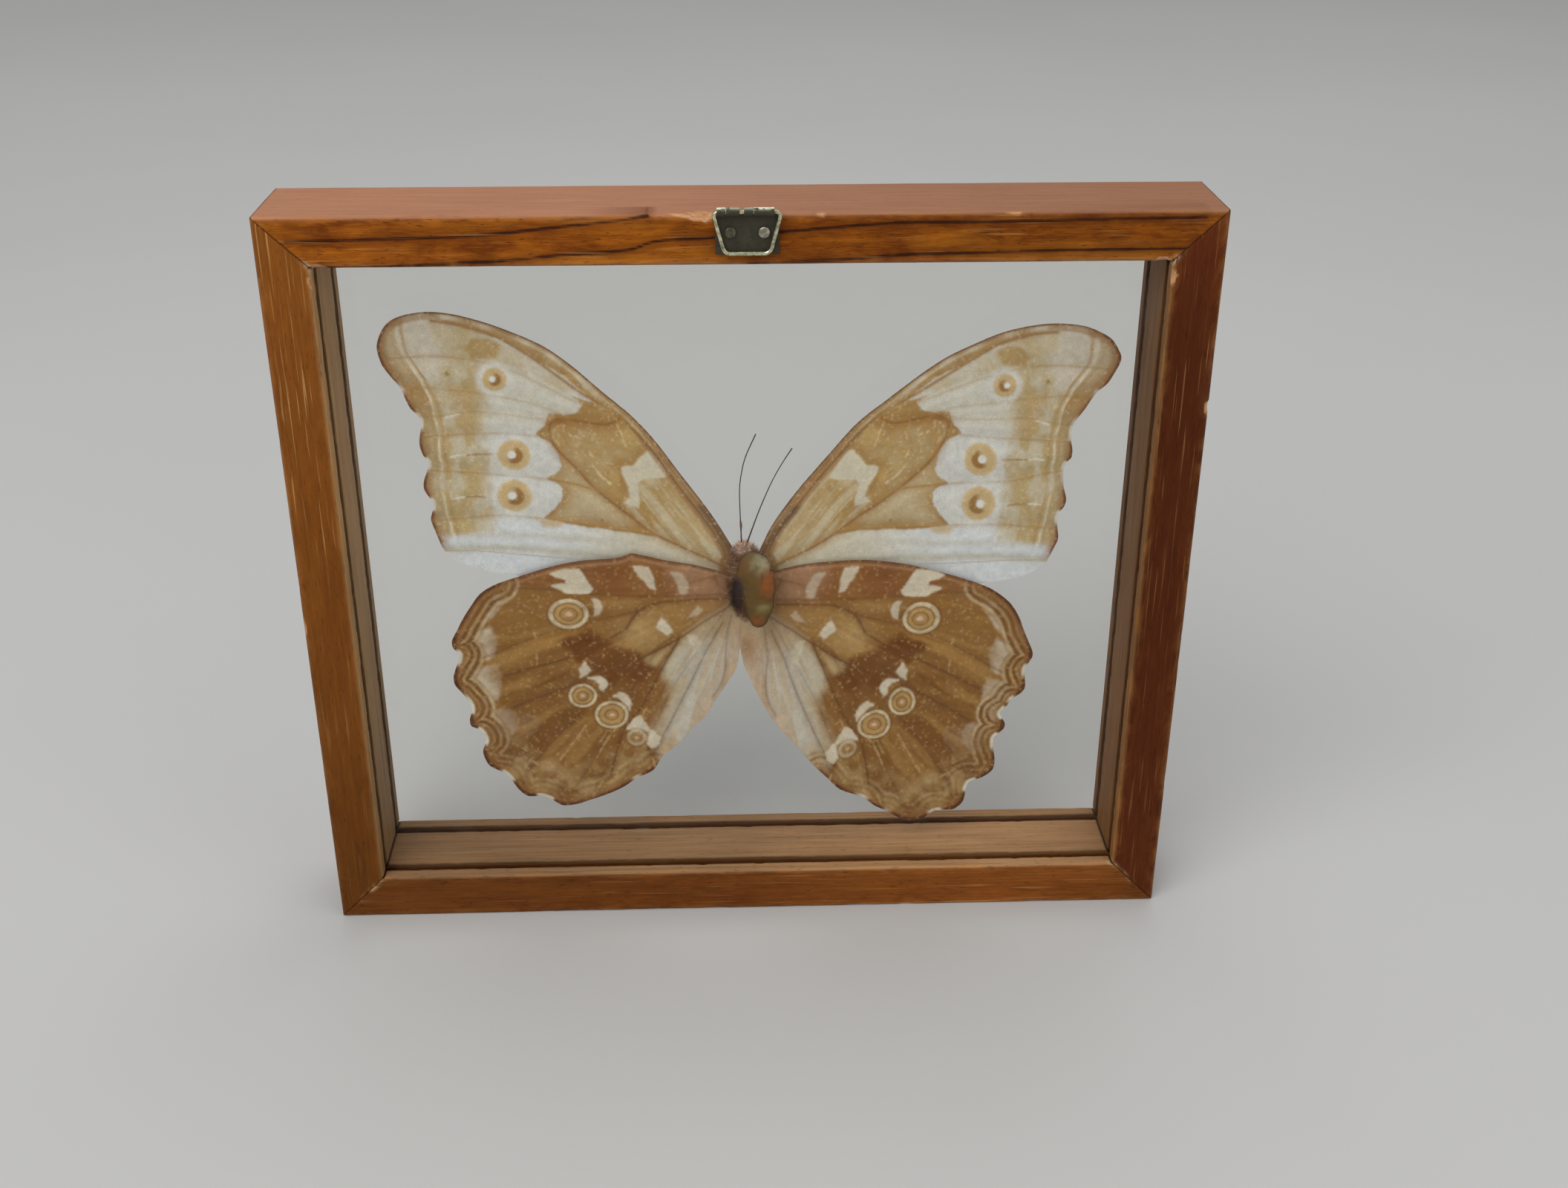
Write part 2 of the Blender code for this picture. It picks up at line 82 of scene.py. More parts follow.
def isInside(points, ring):
    ring = np.asarray(ring, float)
    inside = np.zeros(len(points), bool)
    for (ax, az), (bx, bz) in zip(ring, np.roll(ring, -1, axis=0)):
        if az == bz:
            continue
        crosses = (az > points[:, 1]) != (bz > points[:, 1])
        inside ^= crosses & (points[:, 0] < (bx - ax) * (points[:, 1] - az) / (bz - az) + ax)
    return inside


# A soft round patch, 1 in its middle
def blot(points, x, z, wide, tall):
    return np.exp(-(((points[:, 0] - x) / wide) ** 2 + ((points[:, 1] - z) / tall) ** 2))


# Distance to the ring's edge, more than 0 inside it
def patchDepth(points, ring):
    depth = lineDistance(points, ring, closed=True)
    return np.where(isInside(points, ring), depth, -depth)


def fadeIn(depth, soft):
    t = np.clip(depth / soft + 0.5, 0, 1)
    return t * t * (3 - 2 * t)


def curved(points, steps=5, closed=False):
    points = np.asarray(points, float)
    padded = np.vstack([points[-1:] if closed else points[:1], points,
                        points[:2] if closed else points[-1:]])
    line = []
    for a, b, c, d in zip(padded[:-3], padded[1:-2], padded[2:-1], padded[3:]):
        for t in np.arange(steps) / steps:
            bend = (2 * a - 5 * b + 4 * c - d) * t**2 + (3 * b - a - 3 * c + d) * t**3
            line.append((2 * b + (c - a) * t + bend) / 2)
    return np.array(line if closed else line + [points[-1]])


# Colours are written as they look in ordinary light, 0 to 255, and become the shader's own
def tone(*colour):
    part = np.array(colour, float) / 255
    return np.where(part <= 0.04045, part / 12.92, ((part + 0.055) / 1.055) ** 2.4)


def paint(*colour):
    return (*np.clip(tone(*colour) / light, 0, 0.92), 1.0)


def blendIn(colours, colour, amount):
    return colours + (np.asarray(colour) - colours) * np.clip(amount, 0, 1)[:, None]


# One colour for each of many points
def evenly(count, *colour):
    return np.tile(np.array(paint(*colour)[:3]), (count, 1))


# Vectors scaled to length 1
def unit(vectors):
    return vectors / np.linalg.norm(vectors, axis=-1, keepdims=True)


# Meshes
def makeMesh(name, points, faces, smooth=True):
    mesh = bpy.data.meshes.new(name)
    points = np.asarray(points, np.float64)
    faces = [tuple(int(i) for i in face) for face in faces]
    mesh.from_pydata(points.tolist(), [], faces)
    mesh.validate()
    if smooth:
        mesh.shade_smooth()
    thing = bpy.data.objects.new(name, mesh)
    bpy.context.scene.collection.objects.link(thing)
    return thing


# Faces turned outward, with the points of closed tips joined where asked
def turnOut(thing, weld=False):
    form = bmesh.new()
    form.from_mesh(thing.data)
    if weld:
        bmesh.ops.remove_doubles(form, verts=form.verts, dist=1e-7)
    bmesh.ops.recalc_face_normals(form, faces=form.faces)
    form.to_mesh(thing.data)
    form.free()


# A mesh's points in millimetres
def spotsOf(thing):
    return np.array([vert.co for vert in thing.data.vertices]) / mm


def store(thing, name, values):
    values = np.asarray(values, np.float32)
    if values.ndim == 1:
        layer = thing.data.attributes.new(name, "FLOAT", "POINT")
        layer.data.foreach_set("value", values)
    else:
        layer = thing.data.attributes.new(name, "FLOAT_COLOR", "POINT")
        layer.data.foreach_set("color", np.hstack([values, np.ones((len(values), 1), np.float32)]).ravel())


def tubePoints(line, radii, sides, closed=False):
    line = np.asarray(line, float)
    if closed:
        ahead = np.roll(line, -1, 0) - np.roll(line, 1, 0)
    else:
        ahead = np.gradient(line, axis=0)
    ahead = unit(ahead)
    side = unit(np.cross(ahead, (0, 1, 0)))
    up = np.cross(side, ahead)
    turns = np.arange(sides) / sides * 2 * math.pi
    ring = side[:, None] * np.cos(turns)[None, :, None] + up[:, None] * np.sin(turns)[None, :, None]
    return (line[:, None] + ring * np.asarray(radii)[:, None, None]).reshape(-1, 3)


def gridFaces(rows, columns, closedRows=False):
    faces = []
    for row in range(rows if closedRows else rows - 1):
        here, after = row * columns, (row + 1) % rows * columns
        for column in range(columns):
            beside = (column + 1) % columns
            faces.append((here + column, here + beside, after + beside, after + column))
    return faces


def finishPiece(thing, material, body, slot, *nodes):
    if not thing.data.materials:
        thing.data.materials.append(material)
    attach(thing, body)
    if nodes:
        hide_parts(*nodes)
    return thing


# Material nodes
def newMaterial(name):
    material = bpy.data.materials.new(name)
    material.use_nodes = True
    material.node_tree.nodes.clear()
    return material, material.node_tree


def addNode(tree, kind, inputs=None, **settings):
    made = tree.nodes.new(kind)
    for key, value in settings.items():
        setattr(made, key, value)
    for key, value in (inputs or {}).items():
        if isinstance(value, bpy.types.NodeSocket):
            tree.links.new(value, made.inputs[key])
        else:
            made.inputs[key].default_value = value
    return made


def calc(tree, operation, a, b=0.0, clamp=False):
    made = addNode(tree, "ShaderNodeMath", {0: a, 1: b}, operation=operation)
    made.use_clamp = clamp
    return made.outputs[0]


def mixColour(tree, factor, a, b, blend="MIX"):
    made = addNode(tree, "ShaderNodeMix", {0: factor, 6: a, 7: b}, data_type="RGBA", blend_type=blend)
    return made.outputs[2]


def spread(tree, value, low, high, start=0.0, end=1.0):
    return addNode(tree, "ShaderNodeMapRange", {0: value, 1: low, 2: high, 3: start, 4: end}).outputs[0]


# The object's own coordinates, scaled by one number or by three
def place(tree, scale, shift=(0, 0, 0)):
    source = addNode(tree, "ShaderNodeTexCoord").outputs["Object"]
    scale = scale if isinstance(scale, tuple) else (scale, scale, scale)
    return addNode(tree, "ShaderNodeMapping", {0: source, 1: shift, 3: scale}).outputs[0]


def noise(tree, where, detail=4.0, roughness=0.5, distortion=0.0):
    made = addNode(tree, "ShaderNodeTexNoise", {
        "Vector": where, "Scale": 1.0, "Detail": detail, "Roughness": roughness, "Distortion": distortion,
    })
    return made.outputs["Fac"]


def readField(tree, name, kind="Fac"):
    return addNode(tree, "ShaderNodeAttribute", attribute_name=name).outputs[kind]


def bump(tree, height, strength, distance):
    inputs = {"Height": height, "Strength": strength, "Distance": distance}
    return addNode(tree, "ShaderNodeBump", inputs).outputs[0]


# A colour made lighter or darker by a plain factor
def dimmed(tree, colour, factor):
    grey = addNode(tree, "ShaderNodeCombineColor", {0: factor, 1: factor, 2: factor}).outputs[0]
    return mixColour(tree, 1.0, colour, grey, "MULTIPLY")


def shade(tree, inputs):
    shader = addNode(tree, "ShaderNodeBsdfPrincipled", inputs)
    addNode(tree, "ShaderNodeOutputMaterial", {0: shader.outputs[0]})
    return shader


# The frame's bars. along is the bar's length at its outer face, trim how fast each mitre takes it in. outer
# is the outer faces' colour, dust with a painted sheen of the light from above; drift is painted light and
# shade, a brightness factor along each bar.
box = {
    "width": 160.0, "height": 138.7, "half": 10.0, "side": 8.9, "top": 8.6, "bottom": 9.1, "round": 0.5,
    "kerfs": ((-7.45, -5.65), (5.35, 7.15)), "kerfDepth": 3.0, "lipRound": 0.14,
}
bars = {
    "frame_top": {
        "wide": box["top"], "along": (-80.0, 80.0), "trim": box["side"] / box["top"], "seed": 101,
        "at": lambda s, d: (s, box["height"] - d), "grain": "x",
        "lines": [
            [(-74.8, 134.65), (-54.9, 135.0), (-42.8, 135.45), (-30.7, 136.65), (-21.1, 137.6),
             (-15.7, 138.4)],
            [(-79, 130.3), (-63.9, 130.25), (-54.9, 130.5), (-39.2, 131.2), (-29.5, 132.1), (-19.3, 132.8),
             (-14.5, 134.2), (-4.2, 134.85), (7.3, 135.7), (17.5, 136.5), (26.2, 137.0), (36.5, 137.0),
             (54.4, 137.2), (76, 137.5)],
            [(0.6, 130.25), (10.9, 130.7), (18.6, 131.1), (26.2, 131.6), (36.5, 131.8), (51.9, 132.1),
             (74, 132.3)],
        ],
        "face": (128, 68, 9), "deep": (84, 38, 5), "bright": (160, 100, 26), "outer": (143, 99, 74),
        "ledge": (120, 88, 62), "mottle": 1.0,
        "drift": [(-80, 1.12), (-40, 1.12), (0, 1.0), (40, 0.86), (80, 0.86)],
        "worn": [(-80, 0.3), (80, 0.3)], "filler": 0.9,
        "chips": [
            {"edge": "front", "s": -9.4, "half": 5.2, "deep": 1.0, "tilt": 28, "lean": 0.7},
            {"edge": "front", "s": -6.4, "half": 1.6, "deep": 1.15, "tilt": 35, "lean": 0.0},
            {"edge": "front", "s": 12.4, "half": 1.5, "deep": 0.42, "tilt": 45, "lean": 0.0},
            {"edge": "front", "s": 44.0, "half": 2.2, "deep": 0.36, "tilt": 50, "lean": 0.2},
            {"edge": "front", "s": -52.0, "half": 3.0, "deep": 0.34, "tilt": 40, "lean": 0.0},
            {"edge": "inner", "s": -69.4, "half": 1.6, "deep": 0.6, "tilt": 45, "lean": -0.4},
            {"edge": "inner", "s": 69.2, "half": 1.7, "deep": 0.65, "tilt": 45, "lean": 0.4},
        ],
    },
    "frame_bottom": {
        "wide": box["bottom"], "along": (-80.0, 80.0), "trim": box["side"] / box["bottom"], "seed": 202,
        "at": lambda s, d: (s, d), "grain": "x", "lines": [],
        "face": (100, 54, 17), "deep": (74, 38, 12), "bright": (122, 72, 28), "outer": (96, 60, 32),
        "ledge": (142, 109, 76), "mottle": 0.55,
        "drift": [(-80, 0.72), (-45, 0.83), (0, 0.92), (45, 1.32), (68, 1.18), (80, 0.75)],
        "worn": [(-80, 0.25), (80, 0.25)], "filler": 0.0,
        "chips": [{"edge": "front", "s": 31.0, "half": 2.6, "deep": 0.36, "tilt": 45, "lean": 0.0}],
    },
    "frame_left": {
        "wide": box["side"], "along": (0.0, 138.7), "seed": 303,
        "trim": (box["bottom"] / box["side"], box["top"] / box["side"]),
        "at": lambda s, d: (-80.0 + d, s), "grain": "z", "lines": [],
        "face": (110, 62, 17), "deep": (86, 46, 13), "bright": (128, 78, 28), "outer": (110, 70, 40),
        "ledge": (154, 121, 80), "mottle": 0.4,
        "drift": [(0, 0.56), (25, 0.64), (70, 0.84), (115, 1.02), (139, 1.0)],
        "worn": [(0, 0.15), (60, 0.4), (95, 1.0), (139, 1.0)], "filler": 0.7,
        "chips": [
            {"edge": "inner", "s": 127.6, "half": 1.4, "deep": 0.6, "tilt": 45, "lean": 0.3},
            {"edge": "front", "s": 64.0, "half": 3.0, "deep": 0.36, "tilt": 45, "lean": 0.0},
        ],
    },
    "frame_right": {
        "wide": box["side"], "along": (0.0, 138.7), "seed": 404,
        "trim": (box["bottom"] / box["side"], box["top"] / box["side"]),
        "at": lambda s, d: (80.0 - d, s), "grain": "z", "lines": [],
        "face": (72, 31, 9), "deep": (56, 23, 7), "bright": (88, 42, 15), "outer": (84, 50, 30),
        "ledge": (116, 81, 46), "mottle": 0.4,
        "drift": [(0, 0.95), (25, 0.98), (70, 0.84), (110, 0.82), (139, 1.2)],
        "worn": [(0, 0.2), (80, 0.25), (115, 0.5), (139, 0.4)], "filler": 0.9,
        "chips": [
            {"edge": "inner", "s": 127.2, "half": 1.7, "deep": 0.7, "tilt": 45, "lean": 0.3},
            {"edge": "front", "s": 104.0, "half": 1.7, "deep": 0.6, "tilt": 45, "lean": 0.2},
        ],
    },
}


# The bar's cross-section as depth across the box and distance in from its outer face, with rounded corners
def barSection(wide):
    half, kerfDepth, lip = box["half"], box["kerfDepth"], box["lipRound"]
    corners = [(-half, 0.0, box["round"]), (-half, wide, box["round"])]
    for low, high in box["kerfs"]:
        corners += [(low, wide, lip), (low, wide - kerfDepth, 0.0), (high, wide - kerfDepth, 0.0),
                    (high, wide, lip)]
    corners += [(half, wide, box["round"]), (half, 0.0, box["round"])]
    points, recess = [], []
    count = len(corners)
    for index, (y, d, radius) in enumerate(corners):
        here = np.array((y, d))
        before = unit(np.array(corners[index - 1][:2]) - here)
        after = unit(np.array(corners[(index + 1) % count][:2]) - here)
        inKerf = d < wide - 0.1 and 0 < index < count - 2
        if radius:
            middle = here + (before + after) * radius
            steps = 6 if radius > 0.3 else 3
            for step in range(steps + 1):
                turn = math.pi / 2 * step / steps
                points.append(middle - after * radius * math.cos(turn) - before * radius * math.sin(turn))
                recess.append(0.0)
        else:
            points.append(here)
            recess.append(1.0)
        start = points[-1]
        following = corners[(index + 1) % count]
        end = np.array(following[:2]) - after * following[2]
        length = np.linalg.norm(end - start)
        nextKerf = following[1] < wide - 0.1 and 0 < index + 1 < count - 2
        spacing = 0.8 if inKerf or nextKerf else (0.75 if d == 0.0 and following[1] == 0.0 else 0.42)
        for step in range(1, int(length / spacing) + 1):
            t = step / (int(length / spacing) + 1)
            points.append(start + (end - start) * t)
            recess.append(1.0 if inKerf and nextKerf else (1 - t if inKerf else (t if nextKerf else 0.0)))
    return np.array(points), np.array(recess)


def makeBarPiece(name, bar):
    wide, seed = bar["wide"], bar["seed"]
    section, recess = barSection(wide)
    low, high = bar["along"]
    trims = bar["trim"] if isinstance(bar["trim"], tuple) else (bar["trim"], bar["trim"])
    rows = int((high - low) / 0.62)
    t = np.linspace(0, 1, rows)
    t = np.concatenate([[0.0, 0.0008, 0.0024], t[1:-1], [0.9976, 0.9992, 1.0]])
    t = np.unique(np.round(t, 6))
    y = np.tile(section[:, 0], (len(t), 1))
    d = np.tile(section[:, 1], (len(t), 1))
    joint = 0.03
    s = (low + joint + d * trims[0]) * (1 - t[:, None]) + (high - joint - d * trims[1]) * t[:, None]
    y, d, s = y.ravel(), d.ravel(), s.ravel()
    fromEnd = np.minimum(s - low - d * trims[0], high - d * trims[1] - s)

    raw = np.zeros(len(s))
    half = box["half"]
    edges = {
        "front": (-half, 0.0, -1, -1), "inner": (-half, wide, -1, 1), "rear": (half, 0.0, 1, -1),
        "rearInner": (half, wide, 1, 1),
    }

    # flattens the wood beyond a leaning plane that reaches deep into one arris
    def shave(edge, deep, tilt):
        nonlocal y, d
        cy, cd, signY, signD = edges[edge]
        ny, nd = signY * np.sin(np.radians(tilt)), signD * np.cos(np.radians(tilt))
        over = (y - cy) * ny + (d - cd) * nd + deep
        solid = recess[np.arange(len(y)) % len(section)] < 0.5
        near = (np.abs(y - cy) < 4.5) & (np.abs(d - cd) < 4.5) & solid
        cut = np.where(near, np.maximum(over, 0), 0)
        y = y - cut * ny
        d = d - cut * nd
        return cut

    for index, edge in enumerate(edges):
        worn = 0.2 + 0.16 * np.maximum(roughNoise(s, s * 0 + index, 7.0, seed + index, 4), 0) * 2
        worn += 0.3 * np.maximum(roughNoise(s, s * 0 + index, 2.6, seed + 20 + index, 2) - 0.55, 0)
        shave(edge, worn, 45 + 8 * softNoise(s, s * 0, 9.0, seed + 40))
    for chip in bar["chips"]:
        across = (s - chip["s"]) / chip["half"]
        shape = np.clip(1 - np.abs(across - chip["lean"] * (1 - np.abs(across))) ** 2.2, 0, 1)
        ragged = 1 + 0.25 * roughNoise(s, y + d, 0.9, seed + 60)
        cut = shave(chip["edge"], np.where(np.abs(across) < 1, chip["deep"] * shape * ragged, -1),
                    chip["tilt"])
        raw = np.maximum(raw, np.clip(cut / 0.12, 0, 1))

    # unevenness, always into the wood
    faceY = np.clip((np.abs(y) - 9.4) / 0.6, 0, 1)
    inwardD = np.where(d < 0.5, 1.0, np.where(d > wide - 0.3, -1.0, 0.0))
    wave = 0.045 * (1 + roughNoise(s / 12, y + d, 1.6, seed + 80, 3))
    wave = wave + 0.03 * (1 + roughNoise(s / 30, y + d, 9.0, seed + 81))
    sink = np.exp(-(fromEnd / 0.16) ** 2) * 0.14
    y = y - np.sign(y) * (wave * 0.7 + sink) * faceY
    d = d + inwardD * (wave * 0.7 + sink) * (1 - recess[np.arange(len(y)) % len(section)])
    lips = np.zeros(len(s))
    for lowKerf, highKerf in box["kerfs"]:
        for edgeY in (lowKerf, highKerf):
            near = np.exp(-(((y - edgeY) / 0.3) ** 2)) * (d > wide - 0.6)
            nibble = np.maximum(roughNoise(s, s * 0 + edgeY, 1.8, seed + 90, 3), 0) * 0.3
            d = d - near * nibble
            lips = np.maximum(lips, near)

    x, z = bar["at"](s, d)
    points = np.stack([x, y, z], 1) * mm
    columns = len(section)
    faces = gridFaces(len(t), columns)
    faces.append(tuple(range(columns))[::-1])
    faces.append(tuple(range((len(t) - 1) * columns, len(t) * columns)))
    thing = makeMesh(name + "_wood", points, faces)
    turnOut(thing)

    thing.data.set_sharp_from_angle(angle=math.radians(42))
    flat = np.stack([x, z], 1)
    lineGap = np.full(len(s), 4.0)
    for line in bar["lines"]:
        lineGap = np.minimum(lineGap, lineDistance(flat, curved(line)))
    lineGap = np.where(y < -5, lineGap, 4.0)
    cornerGap = np.minimum(np.hypot(np.abs(y) - half, d), np.hypot(np.abs(y) - half, d - wide))
    store(thing, "lineGap", np.minimum(lineGap, 4.0))
    store(thing, "raw", raw)
    store(thing, "rub", np.exp(-cornerGap / 0.7))
    # recess marks the kerfs and their lips, which the material darkens as painted shade
    store(thing, "recess", np.maximum(recess[np.arange(len(y)) % columns], 0.6 * lips))
    store(thing, "outerFace", fadeIn(0.45 - d, 0.5))
    store(thing, "innerFace", fadeIn(d - wide + 0.45, 0.5))
    store(thing, "jointGap", np.minimum(fromEnd, 6.0))
    # painted light and shade along the bar, with a little random variation
    drift = np.interp(s, [stop[0] for stop in bar["drift"]], [stop[1] for stop in bar["drift"]])
    store(thing, "drift", drift * (1 + 0.06 * roughNoise(s, d + y, 14.0, seed + 95, 2)))
    worn = np.interp(s, [stop[0] for stop in bar["worn"]], [stop[1] for stop in bar["worn"]])
    store(thing, "worn", worn * np.clip(0.6 + roughNoise(s, d, 9.0, seed + 96, 3), 0, 1) * (y < -9))
    corner = np.exp(-(np.hypot(fromEnd * 1.3, (d - wide) * 0.8) / 0.9) ** 2) * (y < -9)
    rubbed = np.exp(-(fromEnd / 0.7) ** 2) * fadeIn(d - wide * 0.45, 2.5) * (y < -9) * (z < 20)
    store(thing, "mitreRub", np.clip(rubbed * (0.3 + 1.6 * roughNoise(s, d, 2.2, seed + 97)), 0, 1) * 0.7)
    store(thing, "filler", np.clip(corner * bar["filler"] * (z > 60), 0, 1))
    return thing


def woodMaterial(name, bar):
    material, tree = newMaterial(name)
    lengthwise, mottle = bar["grain"] == "x", bar["mottle"]
    deep, bright = paint(*bar["deep"]), paint(*bar["bright"])

    def stretched(across, along):
        scale = (along, across, across) if lengthwise else (across, across, along)
        return place(tree, scale, shift=(bar["seed"], 0, 0))

    def dulled(hue, factor):
        return paint(*[part * factor for part in hue])

    def lay(amount, hue):
        nonlocal colour
        colour = mixColour(tree, amount, colour, hue)

    broad = noise(tree, stretched(110, 18), detail=3)
    blotch = noise(tree, stretched(420, 150), detail=5, roughness=0.6, distortion=0.6)
    grain = noise(tree, stretched(1500, 50), detail=5, roughness=0.6)
    fine = noise(tree, stretched(5200, 260), detail=3, roughness=0.6)
    pores = noise(tree, stretched(3000, 560), detail=2, roughness=0.5)
    flecks = spread(tree, pores, 0.63, 0.7)
    colour = mixColour(tree, spread(tree, blotch, 0.34, 0.66, 1 - mottle, 1.0), deep, paint(*bar["face"]))
    lay(spread(tree, broad, 0.5, 0.72, 0.0, 0.75 * mottle), bright)
    lay(spread(tree, grain, 0.42, 0.66, 0.0, 0.5), deep)
    lay(spread(tree, fine, 0.5, 0.75, 0.0, 0.35), bright)
    # the faces round the outside are dusty and paler, partly a painted sheen of the light from above, the
    # ledges that face the specimen pale
    outer = readField(tree, "outerFace")
    dusty = mixColour(tree, spread(tree, grain, 0.35, 0.65, 0.0, 0.5), paint(*bar["outer"]),
                      dulled(bar["outer"], 0.84))
    lay(outer, dusty)
    ledge = mixColour(tree, spread(tree, grain, 0.35, 0.7), paint(*bar["ledge"]),
                      dulled(bar["ledge"], 0.82))
    lay(calc(tree, "MULTIPLY", readField(tree, "innerFace"), 0.9), ledge)
    spots = calc(tree, "MULTIPLY", flecks, spread(tree, outer, 0.0, 1.0, 0.14 + 0.42 * mottle, 0.12))
    lay(spots, dulled(bar["deep"], 0.45))
    # dark lines of the grain
    gap = calc(tree, "ADD", readField(tree, "lineGap"), spread(tree, blotch, 0.3, 0.7, -0.05, 0.05))
    gap = calc(tree, "ADD", gap, spread(tree, grain, 0.3, 0.7, -0.05, 0.05))
    lay(spread(tree, gap, 0.2, 1.6, 0.6, 0.0), deep)
    lay(spread(tree, gap, 0.16, 0.36, 0.9, 0.0), paint(34, 14, 6))
    # wear
    scratches = noise(tree, stretched(2600, 60), detail=1, roughness=0.4)
    pale = calc(tree, "MULTIPLY", spread(tree, scratches, 0.62, 0.7), readField(tree, "worn"))
    lay(calc(tree, "MULTIPLY", pale, 0.75), paint(172, 134, 84))
    rub = calc(tree, "MULTIPLY", readField(tree, "rub"), spread(tree, blotch, 0.42, 0.62))
    lay(calc(tree, "MULTIPLY", rub, 0.5), paint(150, 100, 52))
    # painted light and shade along the bar, from the drift attribute
    colour = dimmed(tree, colour, readField(tree, "drift"))
    rawWood = mixColour(tree, spread(tree, fine, 0.35, 0.7), paint(176, 136, 102), paint(140, 92, 54))
    lay(readField(tree, "raw"), rawWood)
    mitre = calc(tree, "MULTIPLY", readField(tree, "mitreRub"), spread(tree, grain, 0.4, 0.58))
    lay(mitre, paint(168, 136, 98))
    filler = calc(tree, "MULTIPLY", readField(tree, "filler"), spread(tree, pores, 0.42, 0.52))
    lay(filler, paint(168, 150, 120))
    # dark seams, and painted shade down in the kerfs
    lay(spread(tree, readField(tree, "jointGap"), 0.0, 0.34, 0.7, 0.0), paint(48, 24, 10))
    lay(spread(tree, readField(tree, "recess"), 0.1, 0.8, 0.0, 0.88), paint(42, 23, 12))

    roughness = spread(tree, grain, 0.3, 0.7, 0.48, 0.66)
    height = calc(tree, "ADD", calc(tree, "MULTIPLY", grain, 0.6), calc(tree, "MULTIPLY", fine, 0.4))
    height = calc(tree, "SUBTRACT", height, calc(tree, "MULTIPLY", flecks, 0.8))
    height = calc(tree, "SUBTRACT", height, spread(tree, gap, 0.05, 0.3, 0.6, 0.0))
    normal = bump(tree, height, 0.5, 0.00012)
    shade(tree, {
        "Base Color": colour, "Roughness": roughness, "Normal": normal, "Specular IOR Level": 0.08,
    })
    return material


def buildFrame():
    for name, bar in bars.items():
        thing = makeBarPiece(name, bar)
        finishPiece(thing, woodMaterial(name + " stained wood", bar), "box", "stained_wood", name)
        print("wood", name, len(thing.data.polygons))


# Glass: thin clear panes with a faint film of dust
def glassMaterial():
    material, tree = newMaterial("thin clear glass")
    facing = addNode(tree, "ShaderNodeLayerWeight", {"Blend": 0.5}).outputs["Facing"]
    rise = calc(tree, "POWER", facing, 5.0)
    gloss = calc(tree, "ADD", calc(tree, "MULTIPLY", rise, 0.5), 0.006, clamp=True)
    dust = noise(tree, place(tree, 260), detail=6, roughness=0.65)
    specks = noise(tree, place(tree, 2600), detail=2)
    film = calc(tree, "ADD", spread(tree, dust, 0.5, 0.85, 0.0, 0.02),
                spread(tree, specks, 0.76, 0.8, 0.0, 0.1))
    clear = addNode(tree, "ShaderNodeBsdfTransparent", {0: (0.978, 0.978, 0.972, 1)}).outputs[0]
    shiny = addNode(tree, "ShaderNodeBsdfGlossy", {"Color": (0.95, 0.97, 0.98, 1),
                                                   "Roughness": 0.02}).outputs[0]
    dusty = addNode(tree, "ShaderNodeBsdfDiffuse", {0: (0.75, 0.74, 0.7, 1)}).outputs[0]
    first = addNode(tree, "ShaderNodeMixShader", {0: gloss, 1: clear, 2: shiny}).outputs[0]
    whole = addNode(tree, "ShaderNodeMixShader", {0: film, 1: first, 2: dusty}).outputs[0]
    addNode(tree, "ShaderNodeOutputMaterial", {0: whole})
    return material


def buildGlass():
    material = glassMaterial()
    for name in ("glass_back", "glass_front"):
        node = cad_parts[name]
        for slot in node.material_slots:
            slot.material = material
    print("glass")


# Hanger: rolled sheet, wire loop and two nails
hanger = {
    "x": 0.4, "wide": 10.5, "bottom": 132.1, "y": -10.5, "sheet": 0.3, "roll": 0.6, "axis": (-11.35, 139.3),
    "knuckles": ((-4.95, -3.5, 1.0), (-3.38, -1.25, 0.4), (-0.5, 0.98, 0.4), (1.1, 4.4, 1.0)),
    "wire": 0.38, "shoulder": 5.6, "foot": 3.75, "drop": 6.85, "cornerRadii": (0.75, 1.3),
    "nailGap": 5.55, "nailZ": 135.8, "headRadius": 0.95, "headBack": -10.9, "crown": 0.35, "shank": 0.4,
    "nailLength": 6.5,
}


def metalMaterial(name, base, worn, rust, roughness, wornLow, wornHigh, metallic=1.0):
    material, tree = newMaterial(name)
    cloud = noise(tree, place(tree, 420), detail=5, roughness=0.6, distortion=0.4)
    patches = noise(tree, place(tree, 1300, shift=(3, 1, 7)), detail=4, roughness=0.6)
    fine = noise(tree, place(tree, 7000), detail=3)
    colour = mixColour(tree, spread(tree, cloud, 0.35, 0.65), base, [part * 0.72 for part in base[:3]] + [1])
    colour = mixColour(tree, calc(tree, "MULTIPLY", spread(tree, patches, 0.55, 0.68), 0.8), colour, rust)
    # shine sets where the worn colour shows: wear, and on the plate's roll a painted highlight as well
    edge = readField(tree, "shine")
    wear = calc(tree, "MULTIPLY", edge, spread(tree, patches, wornLow, wornHigh), clamp=True)
    colour = mixColour(tree, wear, colour, worn)
    rough = calc(tree, "ADD", spread(tree, fine, 0.3, 0.7, roughness - 0.06, roughness + 0.12),
                 calc(tree, "MULTIPLY", wear, -0.16))
    normal = bump(tree, calc(tree, "ADD", cloud, calc(tree, "MULTIPLY", fine, 0.35)), 0.35, 0.00005)
    shade(tree, {"Base Color": colour, "Metallic": metallic, "Roughness": rough, "Normal": normal})
    return material


